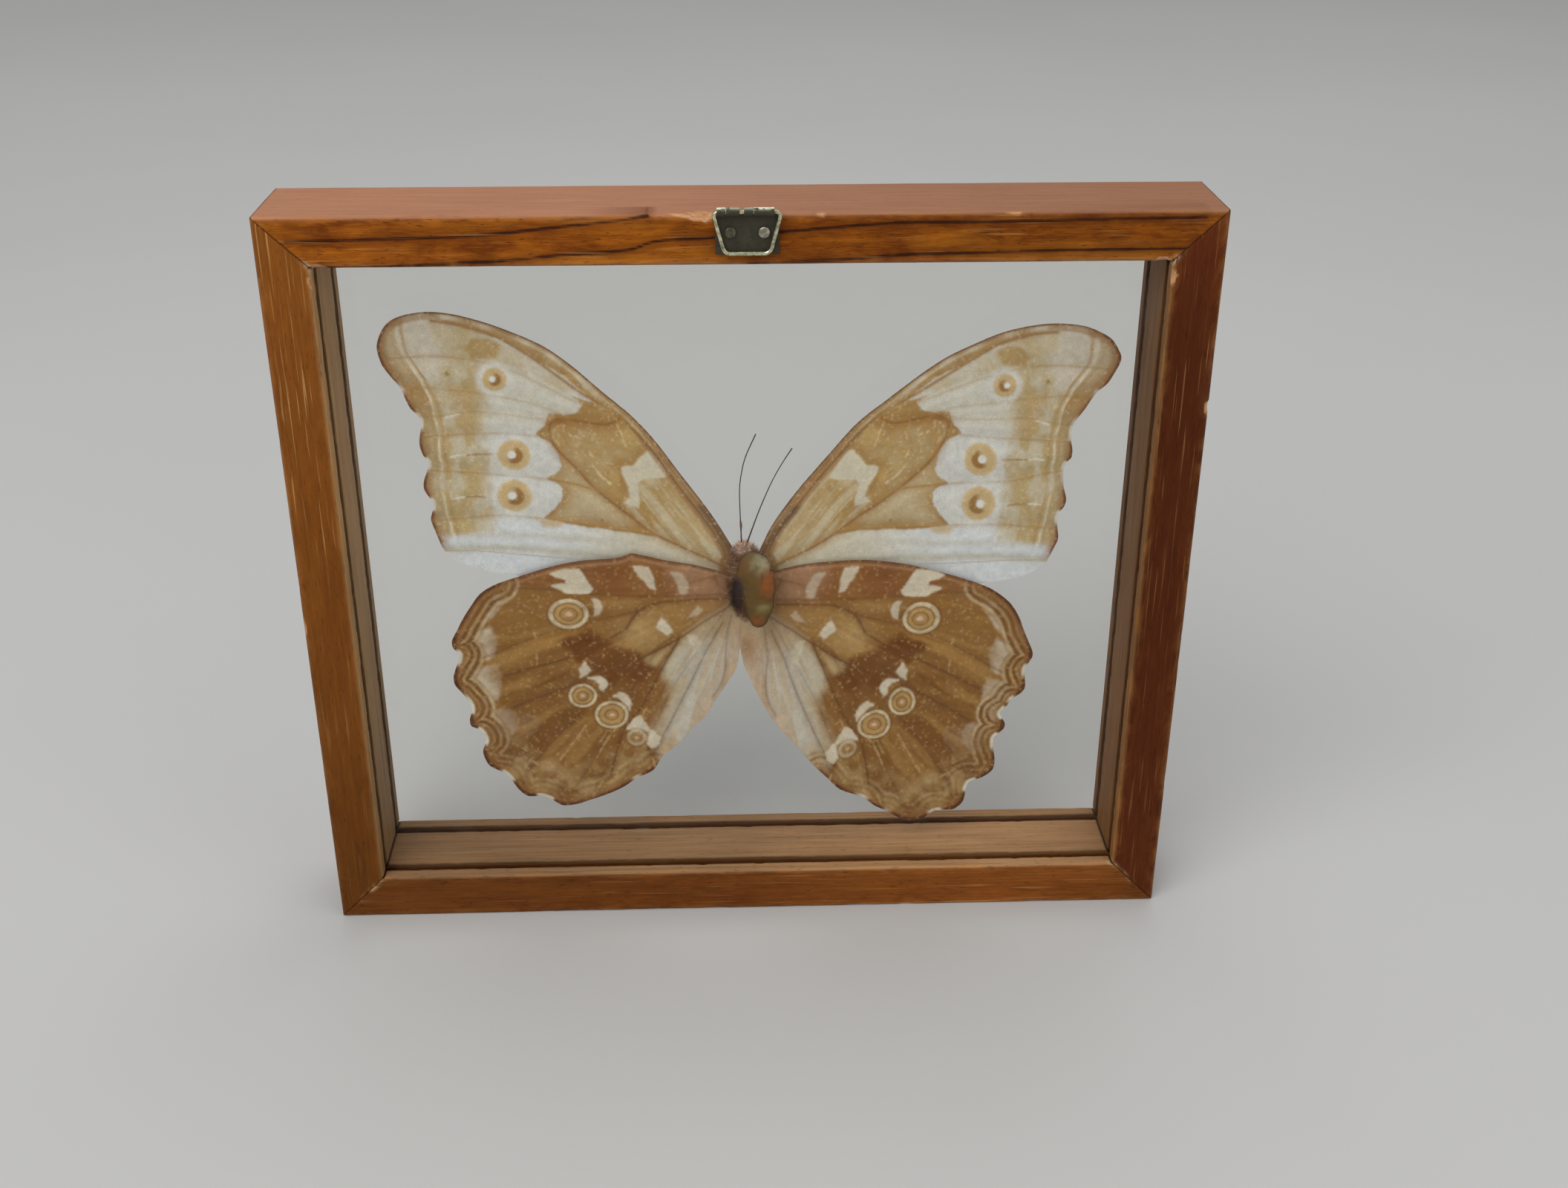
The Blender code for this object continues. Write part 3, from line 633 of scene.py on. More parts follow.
def buildPlate():
    half = hanger["wide"] / 2
    knuckles = hanger["knuckles"]
    stops = sorted({-half, half, *(edge for knuckle in knuckles for edge in knuckle[:2])})
    columns = [-half]
    for low, high in zip(stops, stops[1:]):
        parts = max(1, round((high - low) / 0.3))
        columns += [low + (high - low) * (part + 1) / parts for part in range(parts)]
    axisY, axisZ = hanger["axis"]
    roll = hanger["roll"]
    path = [(hanger["y"], z) for z in np.linspace(hanger["bottom"], 138.0, 16)]
    path += [(-10.53, 138.4), (-10.62, 138.8), (-10.72, 139.1)]
    rollStart = len(path) - 2
    for step in range(33):
        turn = math.radians(285) * step / 32
        path.append((axisY + roll * math.cos(turn), axisZ + roll * math.sin(turn)))
    points = [(hanger["x"] + x, y, z) for y, z in path for x in columns]
    faces = []
    for row in range(len(path) - 1):
        for column in range(len(columns) - 1):
            middle = (columns[column] + columns[column + 1]) / 2
            if row >= rollStart and not any(low < middle < high for low, high, _ in knuckles):
                continue
            base = row * len(columns) + column
            faces.append((base, base + 1, base + 1 + len(columns), base + len(columns)))
    thing = makeMesh("hanger_plate_sheet", np.array(points) * mm, faces)
    form = bmesh.new()
    form.from_mesh(thing.data)
    bmesh.ops.delete(form, geom=[vert for vert in form.verts if not vert.link_faces], context="VERTS")
    bmesh.ops.recalc_face_normals(form, faces=form.faces)
    form.to_mesh(thing.data)
    form.free()
    places = spotsOf(thing)
    # shine: where the sheet turns to its bright worn colour, along the top of the roll and most on the outer
    # knuckles; wear and a painted highlight
    turned = np.arctan2(places[:, 2] - axisZ, places[:, 1] - axisY)
    top = np.where(places[:, 2] > axisZ, np.exp(-((turned - 1.8) / 0.5) ** 2), 0.0)
    across = places[:, 0] - hanger["x"]
    bright = sum(amount * ((across > low - 0.01) & (across < high + 0.01)) for low, high, amount in knuckles)
    store(thing, "shine", np.clip(top * bright * 1.3, 0, 1))
    thick = thing.modifiers.new("sheet", "SOLIDIFY")
    thick.thickness = hanger["sheet"] * mm
    thick.offset = 0.0
    soft = thing.modifiers.new("edges", "BEVEL")
    soft.width = 0.05 * mm
    soft.segments = 2
    soft.angle_limit = math.radians(50)
    material = metalMaterial("dark olive plate", paint(50, 46, 32), paint(190, 196, 168), paint(34, 30, 26),
                             0.6, 0.36, 0.5, metallic=0.3)
    finishPiece(thing, material, "box", "plate_steel", "hanger_plate")


def buildRing():
    corners = [(-hanger["shoulder"], 0), (hanger["shoulder"], 0), (hanger["foot"], -hanger["drop"]),
               (-hanger["foot"], -hanger["drop"])]
    radii = (hanger["cornerRadii"][0],) * 2 + (hanger["cornerRadii"][1],) * 2
    line = []
    for index, radius in enumerate(radii):
        corner = np.array(corners[index], float)
        before = unit(np.array(corners[index - 1]) - corner)
        after = unit(np.array(corners[(index + 1) % 4]) - corner)
        half = math.acos(before @ after) / 2
        middle = corner + unit(before + after) * radius / math.sin(half)
        start = corner + before * radius / math.tan(half) - middle
        end = corner + after * radius / math.tan(half) - middle
        for step in range(11):
            t = step / 10
            angle = math.acos(np.clip(start @ end / radius**2, -1, 1))
            swung = start * math.sin((1 - t) * angle) + end * math.sin(t * angle)
            line.append(middle + swung / math.sin(angle))
    line = np.array(line)
    dense = []
    for a, b in zip(line, np.roll(line, -1, 0)):
        steps = max(1, int(np.linalg.norm(b - a) / 0.14))
        dense += [a + (b - a) * step / steps for step in range(steps)]
    dense = np.array(dense)
    run = np.arange(len(dense)) * 0.14
    radius = hanger["wire"] * (1 - 0.03 * (1 + roughNoise(run, run * 0, 1.3, 71)))
    path = np.stack([hanger["x"] + dense[:, 0], np.full(len(dense), hanger["axis"][0]),
                     hanger["axis"][1] + dense[:, 1]], 1)
    points = tubePoints(path, radius, 20, closed=True)
    thing = makeMesh("hanger_ring_wire", points * mm, gridFaces(len(dense), 20, closedRows=True))
    turnOut(thing)
    store(thing, "shine", np.ones(len(points)))
    material = metalMaterial("worn nickel wire", paint(96, 96, 78), paint(182, 180, 152), paint(84, 94, 72),
                             0.3, 0.34, 0.6)
    finishPiece(thing, material, "ring", "ring_wire", "hanger_ring")


def buildNails():
    head, crown, shank = hanger["headRadius"], hanger["crown"], hanger["shank"]
    profile = [(0.0, crown)]
    for step in range(1, 9):
        turn = math.pi / 2 * step / 8
        profile.append((head * math.sin(turn), 0.1 + (crown - 0.1) * math.cos(turn)))
    profile += [(head, 0.04), (head - 0.04, 0.0), (shank + 0.05, 0.0), (shank, -0.05),
                (shank, -hanger["nailLength"]),
                (0.0, -hanger["nailLength"] - 0.6)]
    looks = {
        "nail_left": metalMaterial("dark nail", paint(58, 56, 42), paint(92, 92, 74), paint(40, 38, 30),
                                   0.5, 0.4, 0.7, 0.6),
        "nail_right": metalMaterial("bright nail", paint(116, 110, 96), paint(158, 154, 138),
                                    paint(96, 90, 78), 0.38, 0.4, 0.6, 0.75),
    }
    for name, side in (("nail_left", -1), ("nail_right", 1)):
        points = []
        for radius, out in profile:
            for step in range(48):
                turn = step / 48 * 2 * math.pi
                points.append((
                    hanger["x"] + side * hanger["nailGap"] / 2 + radius * math.cos(turn),
                    hanger["headBack"] - out, hanger["nailZ"] + radius * math.sin(turn),
                ))
        thing = makeMesh(name + "_metal", np.array(points) * mm, gridFaces(len(profile), 48))
        turnOut(thing, weld=True)
        store(thing, "shine", np.ones(len(thing.data.vertices)) * 0.8)
        finishPiece(thing, looks[name], "box", "nail_steel", name)
    print("hanger")


# Every mark of a forewing's underside, in millimetres on the left wing
forewingMarks = {
    "white": [
        (-3, 68), (-6.5, 70.9), (-11, 73.6), (-16.6, 76.4), (-25.3, 77.8), (-30.3, 78.6), (-34.8, 79.6),
        (-36.6, 80.4), (-34.6, 82.2), (-33.2, 84.4), (-33.1, 86.1), (-34.4, 87.6), (-35.6, 88.1),
        (-34.2, 89.0), (-33.1, 90.5), (-33.3, 92.6), (-34.7, 94.9), (-37.3, 96.7), (-35.7, 98.2),
        (-34.6, 100.4), (-31.6, 100.2), (-29.5, 100.7), (-28.8, 102.1), (-30.3, 103.6), (-29.4, 103.4),
        (-26.5, 102.4), (-28.6, 104.5), (-31.3, 107.0), (-36.5, 110.7), (-42, 114.2), (-50, 117),
        (-60, 121), (-70, 115), (-66, 70), (-50, 62), (-20, 60),
    ],
    "bar": [
        (-17.6, 93.4), (-16.4, 92.9), (-14.6, 90.7), (-13.7, 88.6), (-14.6, 88.2), (-18.6, 87.8),
        (-19.6, 86.6), (-19.2, 83.8), (-19.5, 82.0), (-20.4, 82.3), (-22.2, 83.1), (-21.0, 84.3),
        (-21.2, 86.3), (-22.4, 89.4), (-22.5, 90.4), (-20.2, 90.5), (-19.0, 92.0),
    ],
    "streak": [
        (-24.3, 102.4), (-25.6, 102.9), (-28.6, 105.6), (-29.4, 106.9), (-27.6, 106.0), (-25.4, 104.0),
    ],
    "cellVein": [
        (-3, 69), (-5, 70), (-11, 73.6), (-16.6, 76.7), (-20.3, 79.7), (-27.1, 85.8), (-30.3, 89.9),
        (-33.5, 93.5), (-34.8, 96.2), (-34.6, 98.6), (-32.5, 99.6), (-29, 98.9), (-24.6, 98.4),
        (-22.3, 99.4),
    ],
    "veins": [
        ([(-16.6, 76.7), (-25.3, 78.1), (-34.8, 79.9), (-43.5, 81), (-50, 80.6), (-57.2, 80)], 0.8),
        ([(-26.9, 85.6), (-32.5, 87.4), (-39.8, 88.5), (-47, 89.2), (-57, 90)], 0.8),
        ([(-34.6, 95.6), (-36.6, 96.3), (-43.5, 96.9), (-50, 96.8), (-57.6, 96.4)], 0.7),
        ([(-34.4, 99.6), (-38, 99.7), (-42, 100.4), (-46, 100.9), (-49.5, 101.1), (-53, 100.4),
          (-58, 100.3)], 0.6),
        ([(-31.5, 99.6), (-36.2, 102), (-44.4, 104.1), (-52, 105.2), (-60, 106)], 0.6),
        ([(-24, 100.6), (-30.3, 102.9), (-33.5, 104.7), (-39.8, 108.1), (-46, 110.3), (-54, 111.4),
          (-62, 111)], 0.8),
    ],
    "costa": [
        (-24.2, 101.4), (-29, 104.4), (-33, 107.6), (-38, 111.5), (-43, 114.8), (-48.5, 116.8),
        (-54, 117.8),
    ],
    "costaPale": [
        (-51.2, 118.2, 2.0, 0.9), (-45.2, 116.9, 1.7, 0.5), (-38.2, 113.8, 1.7, 0.6),
        (-33.6, 110.8, 2.0, 0.6), (-29.2, 106.4, 2.2, 0.8),
    ],
    "apexTan": [
        (-54.5, 117.6), (-50, 117.2), (-45, 115.4), (-41.8, 113.2), (-43.5, 110.6), (-48, 109.6),
        (-50.2, 107.2), (-51.2, 105.8), (-52.4, 107), (-52.6, 111), (-53.6, 114.8),
    ],
    "costalTan": [
        (-43, 113.8), (-38, 111), (-33.5, 107.4), (-31, 105.2), (-32.5, 104.9), (-36.5, 107.3),
        (-41, 109.3), (-45, 110.6),
    ],
    "apexPatch": [
        (-42.2, 113.4), (-44.4, 114.8), (-47.4, 114.6), (-48.8, 112.6), (-47.8, 110.8), (-43.4, 110.8),
    ],
    "underVein": [(-38.4, 80.4), (-33.4, 79.6), (-33.8, 78.6), (-37.2, 78.2)],
    "marginLine": [
        (-59.9, 117.4), (-60.0, 115.2), (-59.5, 112.2), (-58.5, 110.2), (-57.0, 107.6), (-55.8, 105.0),
        (-54.9, 102.8), (-54.7, 100), (-54.3, 97), (-54.4, 94), (-54.1, 91), (-54.6, 87.5), (-54.4, 84.5),
        (-53.9, 81), (-53.4, 77.5),
    ],
    "dashes": [[(-49.6, 92.9), (-47, 93.1), (-44.3, 93.0)], [(-50.6, 84.8), (-48.4, 84.9), (-47.2, 84.7)]],
    "paleDashes": [
        [(-52.8, 92.5), (-51.4, 92.9), (-50.2, 92.9)], [(-53.0, 84.4), (-51.6, 84.7), (-50.8, 84.8)],
        [(-43.0, 100.9), (-41.9, 100.8)], [(-53.0, 100.0), (-50.4, 100.6)],
    ],
    "eyes": [
        {"at": (-43.9, 107.0), "ring": 2.15, "dark": 1.15, "pupil": 0.56},
        {"at": (-41.4, 92.75), "ring": 2.95, "dark": 1.6, "pupil": 0.74},
        {"at": (-41.8, 84.8), "ring": 3.1, "dark": 1.75, "pupil": 0.76},
    ],
    "rubs": [
        ([(-32.8, 98.3), (-33.9, 97.6), (-34.3, 96.4), (-33.9, 95.0)], 0.3),
        ([(-31.4, 96.7), (-30.9, 96.3)], 0.8), ([(-30.2, 96.2), (-29.4, 95.8)], 0.7),
        ([(-27.3, 96.4), (-27.3, 95.4)], 0.6), ([(-25.9, 96.6), (-25.6, 95.9)], 0.5),
        ([(-27.6, 90.9), (-26.6, 89.2), (-25.4, 87.9), (-24.4, 87)], 0.75),
        ([(-23.0, 98.5), (-22.2, 96.8), (-21.4, 94.2)], 0.6), ([(-19.4, 95.1), (-18.5, 93.9)], 0.6),
        ([(-27.9, 93.4), (-27.4, 92.3)], 0.6), ([(-25.2, 93.6), (-25.0, 93.0)], 0.5),
        ([(-31.2, 90.3), (-31.0, 89.4)], 0.4), ([(-33.2, 94.6), (-33.6, 95.4)], 0.4),
        ([(-30.4, 84.8), (-30.2, 84.0)], 0.3), ([(-24.6, 90.2), (-23.8, 88.8)], 0.35),
        ([(-29.2, 93.4), (-28.8, 92.8)], 0.4),
    ],
}


# A forewing's underside. edge is the distance to the outer margin, bulge how far the margin stands out
# there, and costal the distance to the leading edge.
def paintForewing(p, edge, bulge, costal):
    marks = forewingMarks
    x, z = p.T
    wander = roughNoise(x, z, 2.2, 3)
    fine = roughNoise(x, z, 0.8, 5, 2)
    broad = roughNoise(x, z, 9, 11)
    blotch = roughNoise(x, z, 3.4, 21, 4)
    fromBody = np.hypot(x + 2, z - 70)
    fibres = roughNoise(np.arctan2(z - 68, -x) * 55, fromBody / 4.5, 1.0, 33, 2)
    white = patchDepth(p, marks["white"]) + 0.28 * wander + 0.12 * fine
    cellLine = curved(marks["cellVein"][:8])
    cell = isInside(p, np.vstack([cellLine, [(-34, 100), (-30, 112), (0, 100), (0, 69)]]))

    cream, deep, mid = tone(170, 157, 127), tone(138, 104, 55), tone(148, 119, 72)
    colours = np.tile(cream, (len(p), 1))

    def dab(hue, amount):
        nonlocal colours
        colours = blendIn(colours, tone(*hue), amount)

    # ochre below the cell, deepest against the white lobes
    colours = blendIn(colours, deep,
                      np.exp(np.minimum(white, 0) / 2.9) * (0.95 + 0.25 * broad + 0.35 * blotch))
    # the discal cell and its lighter base
    bar = patchDepth(p, marks["bar"]) + 0.16 * fine
    pastBar = fadeIn((-x - 20.3) + 0.55 * (z - 86), 3.0)
    colours[cell] = cream
    colours = blendIn(colours, mid, cell * pastBar * (0.9 + 0.5 * blotch + 0.15 * fine))
    colours = blendIn(colours, deep, cell * pastBar * fadeIn(z - 96.6 + 2 * wander, 4.5) * 0.7)
    colours = blendIn(colours, deep, cell * pastBar * fadeIn(1.6 + bar, 2.4) * 0.7)
    dab((172, 147, 100), cell * pastBar * fadeIn(blotch - 0.15, 0.5) * 0.5)
    basal = cell * (1 - pastBar) * np.exp(-np.maximum(18.5 - fromBody, 0) / 5.0)
    colours = blendIn(colours, mid, basal * (0.9 + 0.5 * blotch))
    run, cross = ((z - 70) * 0.83 - (x + 5) * 0.555), ((x + 5) * 0.83 + (z - 70) * 0.555)
    streaked = roughNoise(cross / 0.9, run / 9, 1.0, 35, 2)
    dab((172, 161, 134), cell * (1 - pastBar) * fadeIn(streaked + 0.1, 0.6) * 0.7)
    colours = blendIn(colours, mid, cell * (1 - pastBar) * fadeIn(-streaked - 0.3, 0.5) * 0.5)

    # the white ground, warmer towards the body, and its creamier outer third
    pale = blendIn(tone(179, 182, 184), tone(172, 162, 136),
                   fadeIn(26 - fromBody, 26) * 0.9)
    pale = blendIn(pale, tone(171, 166, 151), fadeIn(z - 98, 6))
    outerThird = fadeIn(-x - 46.2 - 1.0 * wander, 4.5) * fadeIn(z - 77.6, 1.6)
    pale = blendIn(pale, tone(177, 174, 164), fadeIn(z - 80, 3) * 0.6)
    pale = blendIn(pale, tone(166, 155, 131), outerThird * 0.9)
    mottled = roughNoise(x / 0.7, z / 1.5, 2.0, 55, 4) + 0.35 * blotch
    pale = blendIn(pale, tone(155, 133, 92), outerThird * fadeIn(mottled + 0.1, 0.5) * 0.75)
    ground = fadeIn(white, 0.45)
    colours += (pale - colours) * ground[:, None]
    dab((176, 168, 148), fadeIn(bar, 0.55))
    dab((177, 171, 158), fadeIn(patchDepth(p, marks["streak"]) + 0.15 * fine, 0.5) * 0.8)
    underVein = patchDepth(p, marks["underVein"]) + 0.5 * wander
    dab((162, 139, 98), fadeIn(underVein, 1.2) * 0.75)

    # painted grey shade of folds across the white hind area, with a darker crease line
    fold = lineDistance(p, curved([(-55, 74.4), (-47, 74.6), (-40, 74.3), (-32, 73.4), (-24, 72.3)]))
    dab((157, 152, 134), np.exp(-(fold / 0.75) ** 2) * 0.75 * fadeIn(-x - 24, 8))
    crease = lineDistance(p, curved([(-56, 74.2), (-48, 73.9), (-40, 73.0), (-32, 72.2)]))
    dab((138, 124, 98), fadeIn(0.12 - crease + 0.06 * fine, 0.2) * 0.55 * fadeIn(-x - 32, 8))
    fold = lineDistance(p, curved([(-52, 77.2), (-40, 77.0), (-26, 75.6), (-14, 72.6)]))
    dab((166, 161, 147), np.exp(-(fold / 0.7) ** 2) * 0.55)

    # apex: pinkish grey with tan mottling
    patchy = np.clip(0.75 + 0.8 * blotch, 0, 1.3)
    apex = fadeIn(z - 105.5 + 1.2 * wander, 5) * fadeIn(-x - 50.5, 5)
    dab((174, 167, 153), 0.85 * apex * ground)
    apexTan = patchDepth(p, marks["apexTan"]) + 0.8 * wander
    dab((162, 147, 114), fadeIn(apexTan, 2.6) * 0.62 * patchy)
    costalTan = patchDepth(p, marks["costalTan"]) + 0.5 * wander
    dab((162, 142, 102), fadeIn(costalTan, 1.6) * 0.7 * patchy)
    dab((148, 120, 72), fadeIn(patchDepth(p, marks["apexPatch"]) + 0.45 * wander, 1.1) * 0.85)

    # tan band inside the margin
    band = fadeIn(x + 53.2, 1.2) * fadeIn(-48.7 - x + 1.1 * blotch - 0.04 * (92 - z), 1.5)
    band = band * fadeIn(z - 77.6, 1.2) * fadeIn(107 - z, 4)
    dab((156, 136, 95), band * (0.5 + 0.8 * mottled + 0.3 * blotch))
    reddish = blot(p, -50, 103, 1.6, 2.2) + blot(p, -49.5, 98.5, 1.5, 2)
    dab((163, 135, 98), 0.55 * reddish)
    spot = np.hypot(x + 52, z - 108.3)
    dab((157, 138, 96), fadeIn(1.3 - spot, 1.4) * 0.6)
    dab((132, 108, 62), fadeIn(0.4 - spot, 0.4) * 0.8)

    # the margin: ochre scallops with dark rims, white fringe in the notches, a pale line between brown ones
    line = np.array(marks["marginLine"])[::-1]
    line = curved(line)
    beyond = np.interp(z, line[:, 1], line[:, 0]) - x + 0.2 * wander + 0.06 * fine
    within = fadeIn(z - 77, 2.5) * fadeIn(118 - z, 2)
    upper = fadeIn(z - 100, 8)
    scallop = blendIn(tone(152, 134, 99), tone(142, 113, 71), upper * 0.9)
    amount = fadeIn(beyond - 0.2, 0.5) * within * (0.8 + 0.35 * blotch)
    colours += (scallop - colours) * np.clip(amount, 0, 1)[:, None]
    paleTop = within * fadeIn(z - 108, 6) * fadeIn(2.6 - beyond, 2.5) * fadeIn(beyond - 0.4, 0.6)
    dab((170, 158, 132), paleTop * 0.6)
    for start, half, strength, hue in (
        (-0.7, 0.3, 0.62, (150, 120, 75)), (0.2, 0.2, 0.7, (183, 173, 148)),
        (0.95, 0.14, 0.35, (146, 116, 74)),
    ):
        along = within * (strength + 0.3 * broad + 0.45 * blotch + 0.2 * fine)
        dab(hue, fadeIn(half - np.abs(beyond - start), 0.3) * along)
    tip = fadeIn(bulge + 0.1, 0.35)
    dab((134, 98, 60), fadeIn(1.3 + 0.7 * bulge - edge, 1.4) * tip * fadeIn(z - 75, 3) * 0.7)
    dab((98, 62, 38), fadeIn(0.4 + 0.5 * bulge - edge, 0.6) * tip * fadeIn(z - 75, 3))
    notch = fadeIn(-bulge - 0.12, 0.2) * fadeIn(z - 74, 3)
    dab((187, 182, 172), fadeIn(0.45 - edge, 0.35) * notch * 0.9)

    # leading edge: brown, with a paler strip, dark lines and a few worn patches
    near = fadeIn(30 - fromBody, 10)
    thick = 1.35 + 1.0 * fadeIn(34 - fromBody, 16)
    ribbed = 0.9 + 0.25 * roughNoise(fromBody / 3, costal * 2, 1.0, 37, 2)
    lead = fadeIn(thick - costal, 0.5)
    dab((136, 104, 68), lead * (0.75 + 0.2 * near) * ribbed)
    dab((171, 157, 122),
        np.exp(-((costal - 0.95) / 0.26) ** 2) * 0.75 * (1 - near) * fadeIn(60 - fromBody, 20))
    for px, pz, reach, strength in marks["costaPale"]:
        along = np.exp(-(np.hypot(x - px, z - pz) / reach) ** 2)
        dab((180, 172, 154), along * fadeIn(1.3 - costal, 0.4) * fadeIn(costal - 0.4, 0.3) * strength)
    for depth, width, strength, hue in ((0.08, 0.16, 0.95, (82, 56, 38)), (0.75, 0.12, 0.5, (112, 80, 50)),
                                        (1.6, 0.15, 0.8, (104, 72, 42))):
        fade = 1.0 if depth < 0.5 else fadeIn(36 - fromBody, 10)
        dab(hue, fadeIn(width - np.abs(costal - depth), 0.25) * strength * fade)
    away = lineDistance(p, curved(marks["costa"]))
    dab((118, 86, 50), fadeIn(0.22 - away, 0.3) * 0.85)
    dab((146, 116, 76), np.exp(-(away / 0.55) ** 2) * 0.5)

    # veins, dashes and worn spots
    onWhite = 1 - 0.62 * ground
    away = lineDistance(p, curved(marks["cellVein"]))
    dab((134, 98, 52), np.exp(-(away / 1.1) ** 2) * 0.6)
    dab((116, 80, 40), fadeIn(0.2 - away, 0.34) * (0.7 + 0.2 * wander))
    fork = np.exp(-np.hypot((x + 33) / 2.2, z - 99) ** 2)
    dab((122, 78, 38), 0.7 * fork)
    for line, strength in marks["veins"]:
        away = lineDistance(p, curved(line)) + 0.05 * wander
        strong = strength * onWhite * (1 + 0.35 * fadeIn(-x - 47, 2))
        dab((152, 124, 80), np.exp(-(away / 0.6) ** 2) * 0.6 * strong)
        dab((136, 103, 58), fadeIn(0.16 - away, 0.3) * strong * (0.9 + 0.3 * fine))
    for line in marks["dashes"]:
        dab((128, 98, 54), fadeIn(0.14 - lineDistance(p, line) + 0.14 * fine, 0.4) * 0.85)
    for line in marks["paleDashes"]:
        dab((188, 184, 174), fadeIn(0.14 - lineDistance(p, line) + 0.2 * fine, 0.4) * 0.85)
    for line, strength in marks["rubs"]:
        worn = fadeIn(0.1 - lineDistance(p, line) + 0.3 * fine + 0.12 * wander, 0.34) * strength
        dab((184, 166, 130), worn)
    dab((96, 70, 48), fadeIn(0.16 - np.hypot(x + 26.3, (z - 79.8) * 0.6), 0.2) * 0.7)

    for eye in marks["eyes"]:
        across, up = x - eye["at"][0], z - eye["at"][1]
        r = np.hypot(across, up) + 0.07 * wander + 0.03 * fine
        dab((180, 178, 171), fadeIn(eye["ring"] + 1.0 - r, 1.4) * 0.85)
        dab((175, 153, 114), fadeIn(eye["ring"] - r, 0.45) * (0.95 + 0.1 * fine))
        dab((164, 138, 94), fadeIn(0.45 - np.abs(r - eye["ring"] * 0.7), 0.7) * 0.5)
        turn = np.arctan2(up, across)
        crescent = fadeIn(np.cos(turn + 0.5) + 0.35, 0.9)
        dab((128, 93, 47), fadeIn(eye["dark"] - r, 0.55) * (0.15 + 0.8 * crescent))
        pupil = np.hypot(across + 0.36, up - 0.12) + 0.1 * fine
        dab((190, 188, 181), fadeIn(eye["pupil"] - pupil, 0.36))
    dab((112, 82, 54), 0.6 * np.exp(-np.hypot((x + 3.4) / 2.2, (z - 72) / 3) ** 2))
    inner = lineDistance(p, [(-3.0, 72.6), (-6.4, 78.6), (-8.6, 82)])
    dab((84, 62, 42), 0.7 * np.exp(-(inner / 0.8) ** 2))
    speckle = roughNoise(x, z, 0.45, 59, 2)
    dab((182, 172, 146), fadeIn(speckle - 0.55, 0.2) * 0.35)
    colours *= (1 + 0.07 * fine + 0.05 * speckle + 0.035 * wander + 0.045 * fibres)[:, None]
    return colours


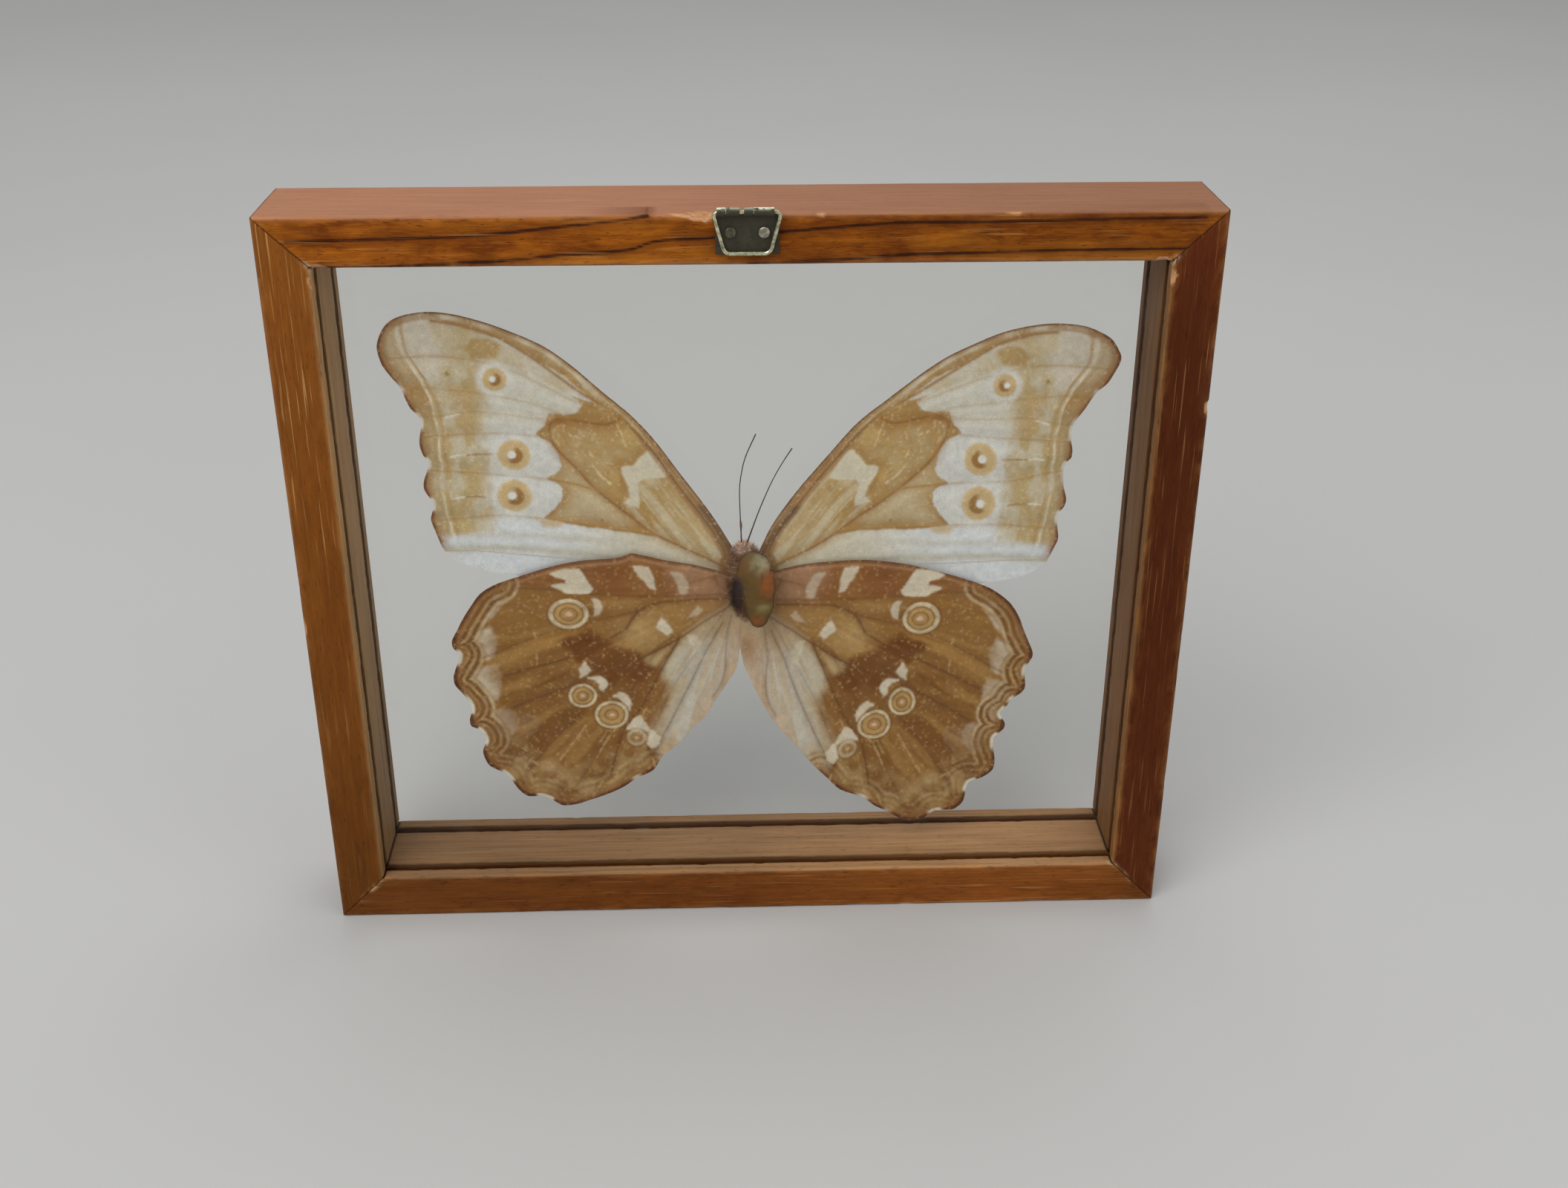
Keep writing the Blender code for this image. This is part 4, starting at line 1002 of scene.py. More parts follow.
# Every mark of a hindwing's underside, in millimetres on the left wing
hindwingMarks = {
    "bandEdge": [
        (0, 63.6), (-8, 64.0), (-15, 64.3), (-25, 64.9), (-30, 65.4), (-36, 66.2), (-43, 67.0), (-48, 68.5),
    ],
    "creamEdge": [
        (-3.5, 64), (-8.5, 59.8), (-12.6, 55.8), (-14.5, 52.5), (-16, 49.5), (-16, 47), (-14.6, 45),
        (-15.4, 42), (-16.4, 40.4), (-18.2, 36.6), (-19.2, 34.6), (-17, 27), (6, 20), (6, 64),
    ],
    "wedge": [(-13, 55.2), (-19.6, 51.8), (-19.2, 50.2), (-17.4, 49.8), (-15.4, 52)],
    "cell": [
        (-6, 63.6), (-15, 63.0), (-20.8, 61.2), (-22.6, 57.8), (-23.6, 55.4), (-21, 51.6), (-16.6, 53.4),
        (-12.4, 56.2), (-8, 60.2),
    ],
    "darkPatch": [
        (-34, 55.2), (-30, 56.3), (-26.4, 54.0), (-22.8, 52.4), (-19.6, 51.2), (-18.4, 49.2), (-20, 46.6),
        (-22.4, 47.6), (-25.2, 46.4), (-28.2, 48.4), (-31.5, 51.6),
    ],
    "patches": [
        ([(-36, 69.5), (-34.2, 70.3), (-30.8, 70.5), (-29.4, 68), (-28.5, 66.2), (-29.4, 65.3),
          (-31.3, 65.3), (-33.3, 65.5), (-36, 67), (-33.5, 67.4), (-33.3, 68.5), (-35.4, 69.1)], 1.0),
        ([(-20.8, 70.8), (-18.2, 70.6), (-17.3, 68.4), (-17.0, 66.0), (-18.0, 66.2), (-19.6, 68.4)], 0.85),
        ([(-13.9, 69.5), (-12.0, 69.0), (-10.9, 67.0), (-11.2, 65.0), (-12.4, 65.2), (-13.0, 67.4)], 0.5),
        ([(-16.1, 60.4), (-16.7, 58.9), (-16.9, 58.1), (-15, 56.2), (-14, 57), (-14.8, 58.5),
          (-15.7, 59.8)], 0.95),
        ([(-11.5, 60), (-9.5, 62.2), (-8.9, 61.5), (-10.5, 60.1)], 0.5),
        ([(-11.3, 56.2), (-10.4, 56.3), (-8.8, 54.6), (-9.2, 53), (-10, 52.3), (-10.6, 54)], 0.6),
        ([(-30.8, 50.8), (-29.7, 49.1), (-30.8, 48), (-31.7, 47.6), (-31.8, 49.3)], 0.9),
        ([(-18.6, 35.4), (-17.1, 33.9), (-17.5, 32.3), (-18.8, 31.4), (-19.6, 32.7), (-19.4, 34.1)], 0.95),
    ],
    "caps": [
        ([(-28.9, 64.2), (-27.4, 63.9), (-27.0, 62.4), (-27.6, 60.8), (-28.8, 60.4), (-28.3, 62.2)], 0.75),
        ([(-30.2, 47.4), (-28.3, 47.7), (-27.1, 47), (-26.8, 46), (-27.5, 44.3), (-28.3, 44.9), (-28.1, 46),
          (-29, 46.8)], 0.95),
        ([(-25.9, 43.3), (-24.4, 44.3), (-23, 43.3), (-22.3, 41.6), (-22.8, 40.2), (-23.6, 41),
          (-24.2, 42.3), (-25, 42.9)], 0.95),
        ([(-23.2, 36), (-21.9, 38.1), (-20.9, 38.7), (-19.8, 37.3), (-19.2, 35.4), (-20.5, 35.8),
          (-21.9, 35.6)], 0.95),
    ],
    "marginPatches": [
        ([(-47.5, 65.8), (-44, 64.9), (-44.6, 64.1), (-46.3, 62), (-49.2, 59.5), (-49.8, 59.9),
          (-48.3, 62.4), (-47.1, 64.1)], 1.0),
        ([(-51.9, 57.4), (-50.4, 58.3), (-47.9, 58.7), (-46.9, 56.6), (-47.1, 54.1), (-47.9, 52.4),
          (-50, 51.2), (-50.6, 51.6), (-50, 53.7), (-50.2, 55.3), (-51.5, 56.4)], 1.0),
        ([(-51.9, 49.3), (-50, 50.5), (-47.3, 50.3), (-46.7, 48.3), (-46.9, 45.8), (-47.5, 43.3),
          (-49.8, 41.6), (-50.2, 42.8), (-49.8, 44.9), (-50.6, 46.6), (-51.7, 47.8)], 1.0),
        ([(-49.8, 41.6), (-44.2, 40.3), (-44, 36.6), (-46.3, 34.1), (-47.9, 35.3), (-48.5, 37.4)], 0.6),
        ([(-43.8, 40.3), (-40, 39), (-40.4, 36), (-42.9, 33.9), (-43.6, 37.2)], 0.3),
    ],
    "eyes": [
        {"at": (-33.3, 61.1), "wide": 3.75, "tall": 3.2, "rim": 0.7, "soft": 0.95, "inner": 1.35,
         "pupil": 0.6},
        {"at": (-31.5, 43.5), "wide": 2.7, "tall": 2.6, "rim": 0.55, "soft": 0.95, "inner": 1.0,
         "pupil": 0.35},
        {"at": (-26.2, 39.2), "wide": 3.2, "tall": 3.1, "rim": 0.6, "soft": 0.95, "inner": 1.2,
         "pupil": 0.42},
        {"at": (-21.6, 34.1), "wide": 1.9, "tall": 1.8, "rim": 0.6, "soft": 0.6, "inner": 0.7,
         "pupil": 0.25},
    ],
    "veins": [
        ([(-2, 64.6), (-5, 63.9), (-9.4, 63.7), (-15.7, 63.3), (-17.3, 62.9), (-20.3, 61.6)], 0.8),
        ([(-2, 64.8), (-9, 64.6), (-17, 64.5), (-25, 64.9), (-35, 66.0), (-45, 66.9)], 0.45),
        ([(-20.3, 61.6), (-25, 60.4), (-29.8, 59.4), (-38, 57), (-50, 52)], 0.5),
        ([(-20.3, 61.6), (-21.9, 59.3), (-23.2, 57.5), (-28.6, 54.3), (-34, 51.8), (-40, 50),
          (-46, 48.2)], 0.9),
        ([(-4, 62.3), (-8.2, 59.3), (-12.8, 55.6), (-20.3, 51.4), (-27.8, 48.1), (-33.2, 46), (-39.6, 43.4),
          (-45, 41.2)], 0.95),
        ([(-20.3, 51.4), (-24.4, 47.3), (-29.4, 42.4), (-34, 37.7), (-38, 33.2), (-43, 27)], 0.65),
        ([(-17.2, 52.8), (-21.4, 46), (-25.6, 38), (-30, 29.4), (-34.6, 21.5)], 0.4),
        ([(-12.8, 55.6), (-15.7, 50.2), (-17.8, 46), (-20.3, 41), (-23.6, 36.4), (-25, 33),
          (-27, 25)], 1.0),
        ([(-4.8, 61.8), (-7.8, 56.2), (-10.7, 51), (-14.4, 44.8), (-16.5, 40.2), (-18.6, 35.6)], 0.45),
        ([(-5.3, 58.9), (-7.3, 54.3), (-10.7, 46.4), (-14.8, 37.7), (-17.4, 32.6), (-18.8, 29)], 0.8),
        ([(-3.8, 60.2), (-4.4, 55.6), (-4.2, 49.3), (-5.3, 45.2), (-6.7, 42.7)], 0.65),
        ([(-6, 66.4), (-6.6, 68.6), (-4.4, 67.6), (-3, 65.2)], 0.5),
        ([(-6.4, 68.4), (-9.6, 67.6), (-14, 65.4), (-20, 64.4)], 0.35),
    ],
    "rubs": [
        ([(-29.4, 29.6), (-27.8, 32.8), (-25.4, 36.4)], 0.6),
        ([(-36.5, 29.5), (-34, 33), (-31.3, 37)], 0.6), ([(-41.5, 59.5), (-40, 57.8), (-39.8, 55.8)], 0.6),
        ([(-39.7, 53.7), (-39.8, 50.3)], 0.5), ([(-35.6, 54.7), (-34.8, 55.3)], 0.6),
        ([(-28.8, 33.0), (-27.2, 35.6)], 0.4), ([(-24.6, 30.2), (-23.6, 33)], 0.4),
        ([(-42.5, 63.6), (-38.8, 64.4)], 0.3), ([(-30.6, 20.8), (-28.4, 24.6)], 0.4),
        ([(-42.8, 29.2), (-39.6, 31.0)], 0.5), ([(-26.0, 25.0), (-24.8, 27.6)], 0.4),
        ([(-19.4, 40.6), (-20.7, 38.4)], 0.5), ([(-44.6, 32.8), (-42.2, 31.0)], 0.5),
        ([(-18.6, 29), (-18.2, 27.2)], 0.6), ([(-45, 31.4), (-41, 28.2)], 0.6),
        ([(-43.6, 27.4), (-40.6, 31.8)], 0.5),
    ],
}


def paintHindwing(p, edge, bulge, costal):
    marks = hindwingMarks
    x, z = p.T
    wander = roughNoise(x, z, 2.4, 43)
    fine = roughNoise(x, z, 0.8, 45, 2)
    broad = roughNoise(x, z, 10, 47)
    blotch = roughNoise(x, z, 3.2, 49, 4)
    # streaks that run out from the wing root
    turn = np.arctan2(z - 66, -(x + 3))
    reach = np.hypot(x + 3, z - 66)
    streaks = roughNoise(turn * 22, reach / 9, 1.0, 51)
    fibres = roughNoise(turn * 60, reach / 4, 1.0, 57, 2)
    inward = patchDepth(p, marks["creamEdge"])

    colours = np.tile(tone(119, 84, 41), (len(p), 1))

    def dab(hue, amount):
        nonlocal colours
        colours = blendIn(colours, tone(*hue), amount)

    dab((113, 78, 37), 0.8 * fadeIn(47 - z + 5 * broad, 14) * fadeIn(z - 22, 12))
    dab((130, 95, 47), 0.75 * blot(p, -37, 57, 9, 4.6))
    dab((98, 63, 26), 0.8 * blot(p, -35, 47.8, 5.5, 2.4))
    dab((138, 106, 60), 0.7 * fadeIn(patchDepth(p, marks["cell"]) + wander, 3))
    dab((164, 138, 94), 0.65 * blot(p, -20.5, 57, 4.0, 3.4))
    dab((150, 120, 74), 0.4 * blot(p, -23.5, 62.8, 4, 1.2))
    dab((88, 50, 18), 0.97 * fadeIn(patchDepth(p, marks["darkPatch"]) + 0.8 + 1.2 * wander, 2.6))
    dab((96, 62, 28), 0.55 * np.exp(-(((x + 38) * 0.66 - (z - 38) * 0.75) / 2.4) ** 2)
                      * fadeIn(47 - z, 10) * fadeIn(z - 26, 6))
    for spotX, spotZ, wide, tall, strength in ((-35, 37.5, 3, 2, 0.6), (-41, 33.5, 2.4, 1.8, 0.6),
                                               (-23, 29, 3.2, 2.4, 0.7),
                                               (-28.5, 24, 1.8, 1.2, 0.5), (-22, 44, 1.8, 3, 0.5)):
        around = blot(p, spotX, spotZ, wide, tall)
        dab((99, 64, 30), around * strength)
    for spotX, spotZ, wide, tall in ((-44.3, 29, 2.4, 1.8), (-35.3, 25, 3, 1.4), (-38.6, 27.5, 1.6, 1.4),
                                     (-31, 22, 2.4, 1.2)):
        around = blot(p, spotX, spotZ, wide, tall)
        dab((160, 140, 103), around * (0.75 + 0.4 * blotch))
    lowTan = fadeIn(29 - z + 4 * wander, 8) * fadeIn(-x - 20, 6) * fadeIn(blotch + 0.3, 0.8)
    dab((140, 112, 70), 0.42 * lowTan)
    dab((101, 67, 32), 0.42 * fadeIn(streaks - 0.16, 0.5) * fadeIn(60 - z, 16))
    dab((150, 116, 66), 0.42 * fadeIn(-streaks - 0.15, 0.5) * fadeIn(62 - z, 16))

    dab((92, 53, 18), 0.75 * fadeIn(patchDepth(p, marks["darkPatch"]) + 0.4 + wander, 2.2))
    around = blot(p, -35.5, 48.0, 4.5, 2.0)
    dab((100, 63, 24), 0.7 * around)
    # reddish leading band, where the forewing lies behind
    rise = np.interp(-x, [-q[0] for q in marks["bandEdge"]], [q[1] for q in marks["bandEdge"]])
    band = fadeIn(z - rise + 0.5 * wander, 1.6) * fadeIn(x + 46, 12)
    red = blendIn(tone(128, 86, 46), tone(104, 64, 31),
                  fadeIn(blotch + 0.05, 0.7) * 0.6)
    red = blendIn(red, tone(103, 62, 32), 0.5 * np.exp(-(((x + 26) / 5) ** 2)))
    red = blendIn(red, tone(146, 112, 88), 0.75 * fadeIn(x + 13 + 2 * wander, 6))
    colours += (red - colours) * (band * 0.9)[:, None]
    rootPale = np.exp(-np.hypot(x + 6, (z - 66) * 1.2) / 4.5)
    dab((140, 106, 76), 0.55 * rootPale)
    dab((96, 64, 42), 0.85 * fadeIn(0.55 - costal, 0.6) * fadeIn(x + 46, 6))
    dab((150, 116, 84), 0.5 * np.exp(-((costal - 1.0) / 0.3) ** 2) * fadeIn(x + 44, 8))

    # cream inner part with a tawny smudge
    cream = blendIn(tone(162, 152, 131), tone(167, 162, 150), fadeIn(inward - 2.5, 5))
    cream = blendIn(cream, tone(150, 128, 95), 0.7 * fadeIn(z - 55, 7))
    cream = blendIn(cream, tone(150, 126, 90), 0.5 * fadeIn(streaks - 0.1, 0.6) * fadeIn(z - 30, 4))
    soft = 1.4 + 2.4 * fadeIn(48 - z, 4) * fadeIn(z - 33, 4)
    colours += (cream - colours) * fadeIn((inward + 0.35 * wander) / soft, 1.0)[:, None]
    wedge = patchDepth(p, marks["wedge"]) + 0.5 * wander
    dab((158, 138, 100), fadeIn(wedge, 1.8) * 0.8)
    smudge = lineDistance(p, curved([(-17.8, 46), (-17.6, 42), (-19, 38)]))
    dab((118, 84, 46), 0.75 * np.exp(-(smudge / 1.5) ** 2))
    innerEdge = lineDistance(p, [(-1.2, 58), (-1.6, 52), (-3.2, 47), (-5.8, 42.7), (-9, 38)])
    dab((166, 134, 104), 0.6 * np.exp(-innerEdge / 1.1))
    # painted shadow below the body, brown where the two hindwings meet
    dab((120, 84, 54), 0.8 * np.exp(-np.hypot(x + 0.4, (z - 56.5) * 0.6) / 2.0))
    strip = lineDistance(p, [(-15.6, 31.6), (-17.4, 28.6), (-18.2, 26.6)])
    dab((176, 152, 124), 0.8 * fadeIn(0.5 - strip, 0.6))

    # outer margin: pale patches, wavy lines, dark tips and white fringe
    wave = edge + 1.7 * bulge + 0.22 * wander + 0.08 * fine
    side = fadeIn(z - 33, 6) * fadeIn(67.5 - z, 2)
    lower = fadeIn(35 - z, 6)
    for ring, strength in marks["marginPatches"]:
        depth = patchDepth(p, ring) + 0.35 * wander + 0.15 * fine
        inner = np.clip(1.25 - (edge - 3.0) / 4.5, 0.3, 1)
        dab((170, 158, 138), fadeIn(depth, 0.9) * strength * inner * (0.95 + 0.3 * fibres))
    dab((120, 88, 50), 0.75 * fadeIn(4.4 - wave, 1.2) * side)
    confused = fadeIn(roughNoise(x, z, 2.6, 61, 4) + 0.1, 0.6)
    dab((143, 118, 80), 0.55 * lower * confused * fadeIn(7.5 - edge, 4))
    dab((100, 66, 34), 0.6 * lower * (1 - confused) * fadeIn(6 - edge, 5))
    broken = np.clip(0.8 + 0.7 * blotch + 0.3 * fine, 0.15, 1.2)
    for depth, strength, width, hue in (
        (3.75, 0.7, 0.3, (168, 148, 114)), (3.0, 0.8, 0.24, (94, 61, 30)), (2.35, 0.6, 0.22, (160, 134, 94)),
        (1.7, 0.8, 0.26, (92, 60, 30)), (1.05, 0.45, 0.2, (158, 130, 92)),
    ):
        along = strength * broken * (0.35 + 0.65 * side)
        dab(hue, along * fadeIn(width - np.abs(wave - depth), 0.3))
    tip = fadeIn(bulge + 0.05, 0.3)
    dab((118, 80, 44), 0.8 * fadeIn(1.2 + 1.0 * bulge - edge, 0.9) * tip)
    dab((78, 47, 27), fadeIn(0.5 + 0.9 * bulge - edge, 0.6) * tip)
    dab((182, 176, 162), 0.95 * fadeIn(0.6 - edge, 0.35) * fadeIn(-bulge - 0.1, 0.2))

    # veins, dark along both sides
    onCream = 1 - 0.3 * fadeIn(inward, 2)
    for line, strength in marks["veins"]:
        away = lineDistance(p, curved(line)) + 0.05 * wander
        fade = fadeIn(edge - 2.8, 2.5) * strength * onCream
        dab((100, 66, 32), np.exp(-(away / 0.85) ** 2) * 0.5 * fade)
        dab((84, 54, 28), fadeIn(0.17 - away, 0.28) * 0.75 * fade)

    # white patches, then the ringed spots with their caps
    for ring, strength in marks["patches"] + marks["caps"]:
        depth = patchDepth(p, ring) + 0.2 * fine + 0.2 * wander + 0.1 * fibres
        dab((178, 168, 148), fadeIn(depth + 0.12, 0.55) * strength)
    for eye in marks["eyes"]:
        across, up = (x - eye["at"][0]) / eye["wide"], (z - eye["at"][1]) / eye["tall"]
        size = eye["tall"]
        r = np.hypot(across, up) * size * (1 + 0.02 * wander) + 0.04 * fine
        strength = eye["soft"]
        ringed = np.clip(0.85 + 0.5 * wander + 0.3 * fine, 0.3, 1) * strength
        dab((104, 70, 34), fadeIn(size + 0.4 - r, 0.45) * 0.7 * strength)
        dab((176, 163, 134), fadeIn(size - r, 0.25) * ringed)
        dab((116, 80, 40), fadeIn(size - eye["rim"] - r, 0.25) * strength)
        dab((154, 124, 78), fadeIn(size - eye["rim"] - 0.32 - r, 0.3) * strength)
        inner = np.abs(r - eye["inner"])
        dab((112, 76, 38), fadeIn(0.15 - inner, 0.25) * 0.9 * strength)
        dab((140, 106, 62), fadeIn(eye["inner"] - 0.1 - r, 0.4) * 0.55 * strength)
        pupil = eye["pupil"] * (1 + 0.4 * fine + 0.12 * np.cos(3 * np.arctan2(up, across) + 1)) - r
        dab((184, 156, 134), fadeIn(pupil, 0.4) * strength)
    for line, strength in marks["rubs"]:
        worn = fadeIn(0.13 - lineDistance(p, line) + 0.3 * fine + 0.12 * wander, 0.34) * strength * 0.8
        dab((168, 144, 104), worn)
    dab((80, 58, 42), 0.8 * np.exp(-np.hypot((x + 3.6) / 2.2, (z - 65.5) / 3) ** 2))
    speckle = roughNoise(x, z, 0.45, 63, 2)
    dab((160, 134, 94), fadeIn(speckle - 0.5, 0.25) * 0.4)
    colours *= (1 + 0.08 * fine + 0.07 * speckle + 0.05 * wander + 0.05 * streaks + 0.06 * fibres)[:, None]
    return colours


# Wings: thin two-sided sheets with raised veins, cut to the CAD wing's own outline
landmarks = {
    "forewing": [
        ((-43.9, 107), (46.1, 104.8)), ((-41.4, 92.7), (42.3, 90.7)), ((-41.9, 84.8), (42.5, 81.9)),
        ((-16.6, 92.9), (18.2, 92.7)), ((-14.1, 90.1), (15.7, 89.1)), ((-19.8, 81.5), (20, 81.4)),
        ((-22.3, 90.1), (23.9, 89.5)), ((-33, 85.4), (33.9, 83.6)), ((-33.1, 90.4), (34.3, 88.6)),
        ((-27.1, 85.8), (27.7, 85.2)), ((-34.6, 94.9), (35.9, 94.5)), ((-44.4, 89.1), (45.5, 86.4)),
        ((-53.9, 119.4), (54.5, 116.2)), ((-63.7, 113.3), (66.4, 109.8)), ((-2.7, 73.1), (2.7, 72.7)),
        ((-57.4, 99.6), (58.7, 96.6)), ((-56.7, 91.3), (57.9, 89.6)), ((-51.2, 71.0), (51.4, 67.3)),
    ],
    "hindwing": [
        ((-33.3, 61), (32.5, 58.9)), ((-31.7, 43.4), (29.8, 40.7)), ((-26.2, 39), (24.5, 35.8)),
        ((-21.9, 33.9), (19.5, 30.6)), ((-28.3, 62.3), (28.3, 60.6)), ((-28.1, 46), (26.7, 44.3)),
        ((-23.8, 42.7), (22.3, 39.3)), ((-21.3, 36.8), (19.2, 33.3)), ((-30.8, 49.1), (29.4, 47.7)),
        ((-18.3, 33.1), (16.3, 28.9)), ((-31.3, 68.1), (31.7, 66.8)), ((-20.4, 70.6), (20.2, 69.8)),
        ((-17.3, 66), (17.5, 64.8)), ((-13.3, 69.1), (13.8, 68.5)), ((-11.3, 65.2), (11.3, 63.9)),
        ((-15.6, 58.1), (15.2, 57)), ((-36.7, 18.9), (32.9, 13.7)), ((-54.2, 53.1), (53.0, 47.7)),
        ((-3.2, 47.0), (2.2, 42.6)),
    ],
}


# A right wing's points in the left wing's pattern, by the landmarks that both share
def onLeftPattern(points, kind):
    pairs = np.array(landmarks[kind], float)
    left, right = pairs[:, 0], pairs[:, 1]
    weight = 1 / (((points[:, None] - right[None]) ** 2).sum(2) + 4.0) ** 1.5
    weight /= weight.sum(1)[:, None]
    middleRight, middleLeft = weight @ right, weight @ left
    fromRight = right[None] - middleRight[:, None]
    fromLeft = left[None] - middleLeft[:, None]
    spreadRight = np.einsum("ij,ijk,ijl->ikl", weight, fromRight, fromRight) + np.eye(2) * 1e-6
    cross = np.einsum("ij,ijk,ijl->ikl", weight, fromRight, fromLeft)
    turn = np.linalg.solve(spreadRight, cross)
    return np.einsum("ij,ijk->ik", points - middleRight, turn) + middleLeft


def boundaryLoop(name):
    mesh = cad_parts[name].data
    key, corner, places = {}, [], []
    for vert in mesh.vertices:
        spot = tuple(round(part * 1e6) for part in vert.co)
        if spot not in key:
            key[spot] = len(key)
            places.append((vert.co.x / mm, vert.co.z / mm))
        corner.append(key[spot])
    edges = {}
    for face in mesh.polygons:
        if face.normal.y > -0.9:
            continue
        ids = [corner[index] for index in face.vertices]
        for a, b in zip(ids, ids[1:] + ids[:1]):
            edges[frozenset((a, b))] = edges.get(frozenset((a, b)), 0) + 1
    near = {}
    for edge, count in edges.items():
        if count == 1 and len(edge) == 2:
            a, b = edge
            near.setdefault(a, []).append(b)
            near.setdefault(b, []).append(a)
    best = []
    left = set(near)
    while left:
        start = min(left)
        loop, before, here = [start], None, start
        while True:
            closing = before not in (None, start) and len(loop) > 2
            onward = [other for other in near[here]
                      if other != before and other in left or other == start and closing]
            if not onward:
                break
            before, here = here, onward[0]
            if here == start:
                break
            loop.append(here)
            left.discard(here)
        left.discard(start)
        if len(loop) > len(best):
            best = loop
    ring = np.array([places[index] for index in best])
    if (ring[:, 0] * np.roll(ring[:, 1], -1) - np.roll(ring[:, 0], -1) * ring[:, 1]).sum() < 0:
        ring = ring[::-1]
    return ring


def evenRing(ring, spacing):
    smooth = curved(ring, steps=8, closed=True)
    length = np.linalg.norm(np.roll(smooth, -1, 0) - smooth, axis=1)
    run = np.concatenate([[0], np.cumsum(length)])
    marks = np.linspace(0, run[-1], int(run[-1] / spacing), endpoint=False)
    around = np.vstack([smooth, smooth[:1]])
    return np.stack([np.interp(marks, run, around[:, axis]) for axis in (0, 1)], 1)


# How far each outline point stands out from the outline's own smooth run
def outlineBulge(ring, spacing, window=9.0):
    count = int(window / spacing) | 1
    weights = np.hanning(count + 2)[1:-1]
    weights /= weights.sum()
    padded = np.vstack([ring[-count:], ring, ring[:count]])
    smooth = np.stack([np.convolve(padded[:, axis], weights, "same") for axis in (0, 1)], 1)[count:-count]
    ahead = unit(np.roll(smooth, -3, 0) - np.roll(smooth, 3, 0))
    return ((ring - smooth) * np.stack([ahead[:, 1], -ahead[:, 0]], 1)).sum(1)


def nearestOn(points, ring, chosen):
    tree = KDTree(int(chosen.sum()))
    ids = np.nonzero(chosen)[0]
    for index in ids:
        tree.insert((ring[index, 0], ring[index, 1], 0), int(index))
    tree.balance()
    found = np.array([tree.find((x, z, 0))[1] for x, z in points])
    best = np.full(len(points), 1e9)
    for step in (-1, 0):
        a, b = ring[(found + step) % len(ring)], ring[(found + step + 1) % len(ring)]
        span = b - a
        t = np.clip(((points - a) * span).sum(1) / np.maximum((span * span).sum(1), 1e-12), 0, 1)
        best = np.minimum(best, np.linalg.norm(points - a - span * t[:, None], axis=1))
    return best, found


def triangulate(ring, spacing):
    low, high = ring.min(0), ring.max(0)
    rows = np.arange(low[1], high[1], spacing * 0.866)
    columns = np.arange(low[0], high[0], spacing)
    x, z = np.meshgrid(columns, rows)
    x = x + (np.arange(len(rows)) % 2)[:, None] * spacing / 2
    x = x + 0.12 * spacing * softNoise(x * 9, z * 9, 1.0, 5)
    inner = np.stack([x.ravel(), z.ravel()], 1)
    inner = inner[isInside(inner, ring)]
    gap, _ = nearestOn(inner, ring, np.ones(len(ring), bool))
    inner = inner[gap > spacing * 0.55]
    points = np.vstack([ring, inner])
    count = len(ring)
    edges = [(index, (index + 1) % count) for index in range(count)]
    made = delaunay_2d_cdt([Vector(point) for point in points], edges, [], 1, 1e-7)
    spots = np.array([tuple(vert) for vert in made[0]])
    return spots, np.array([tuple(face) for face in made[2]])


# margin: the scalloped edge lies further out than the first number, between the heights of the others.
# lead: the leading edge lies above these heights at 0, 10 and 60 mm out from the middle.
wings = {
    "forewing_left": {
        "kind": "forewing", "side": -1, "y": 0.45, "seed": 5, "margin": (52.0, 71, 118.3),
        "lead": (69.0, 72.0, 73.0),
    },
    "forewing_right": {
        "kind": "forewing", "side": 1, "y": 0.45, "seed": 6, "margin": (52.0, 68.5, 115.0),
        "lead": (68.5, 71.5, 71.0),
    },
    "hindwing_left": {
        "kind": "hindwing", "side": -1, "y": -0.45, "seed": 7, "margin": (18.0, 0, 67.6),
        "lead": (67.0, 67.0, 67.0),
    },
    "hindwing_right": {
        "kind": "hindwing", "side": 1, "y": -0.45, "seed": 8, "margin": (14.0, 0, 65.6),
        "lead": (65.0, 65.0, 65.0),
    },
}
wingSheet = {"spacing": 0.27, "rearSpacing": 0.62, "halfThick": 0.065, "veinHigh": 0.07}
# how far the roots reach in, from what height up, and how much further the two wings of a kind meet
wingRoots = {"forewing": (0.6, 60, 0), "hindwing": (0.45, 53, 0.35)}


def veinLines(kind):
    if kind == "forewing":
        lines = [(forewingMarks["cellVein"], 1.0), (forewingMarks["costa"], 1.0)]
        return lines + forewingMarks["veins"]
    return hindwingMarks["veins"]


# Lift of the sheet at each pattern point: raised veins, a soft pleat between them, and a slow bow
def wingRelief(p, kind, seed):
    x, z = p.T
    gap = np.full(len(p), 9.0)
    lift = np.zeros(len(p))
    for line, strength in veinLines(kind):
        away = lineDistance(p, curved(line))
        gap = np.minimum(gap, away)
        lift = np.maximum(lift, (0.35 + 0.65 * strength) * np.exp(-(away / 0.24) ** 2))
    pleat = 0.16 * np.cos(np.clip(gap / 3.4, 0, 1) * math.pi)
    bow = 0.14 * roughNoise(x, z, 17.0, seed, 2) + 0.05 * roughNoise(x, z, 5.0, seed + 3, 2)
    return wingSheet["veinHigh"] * lift, pleat + bow


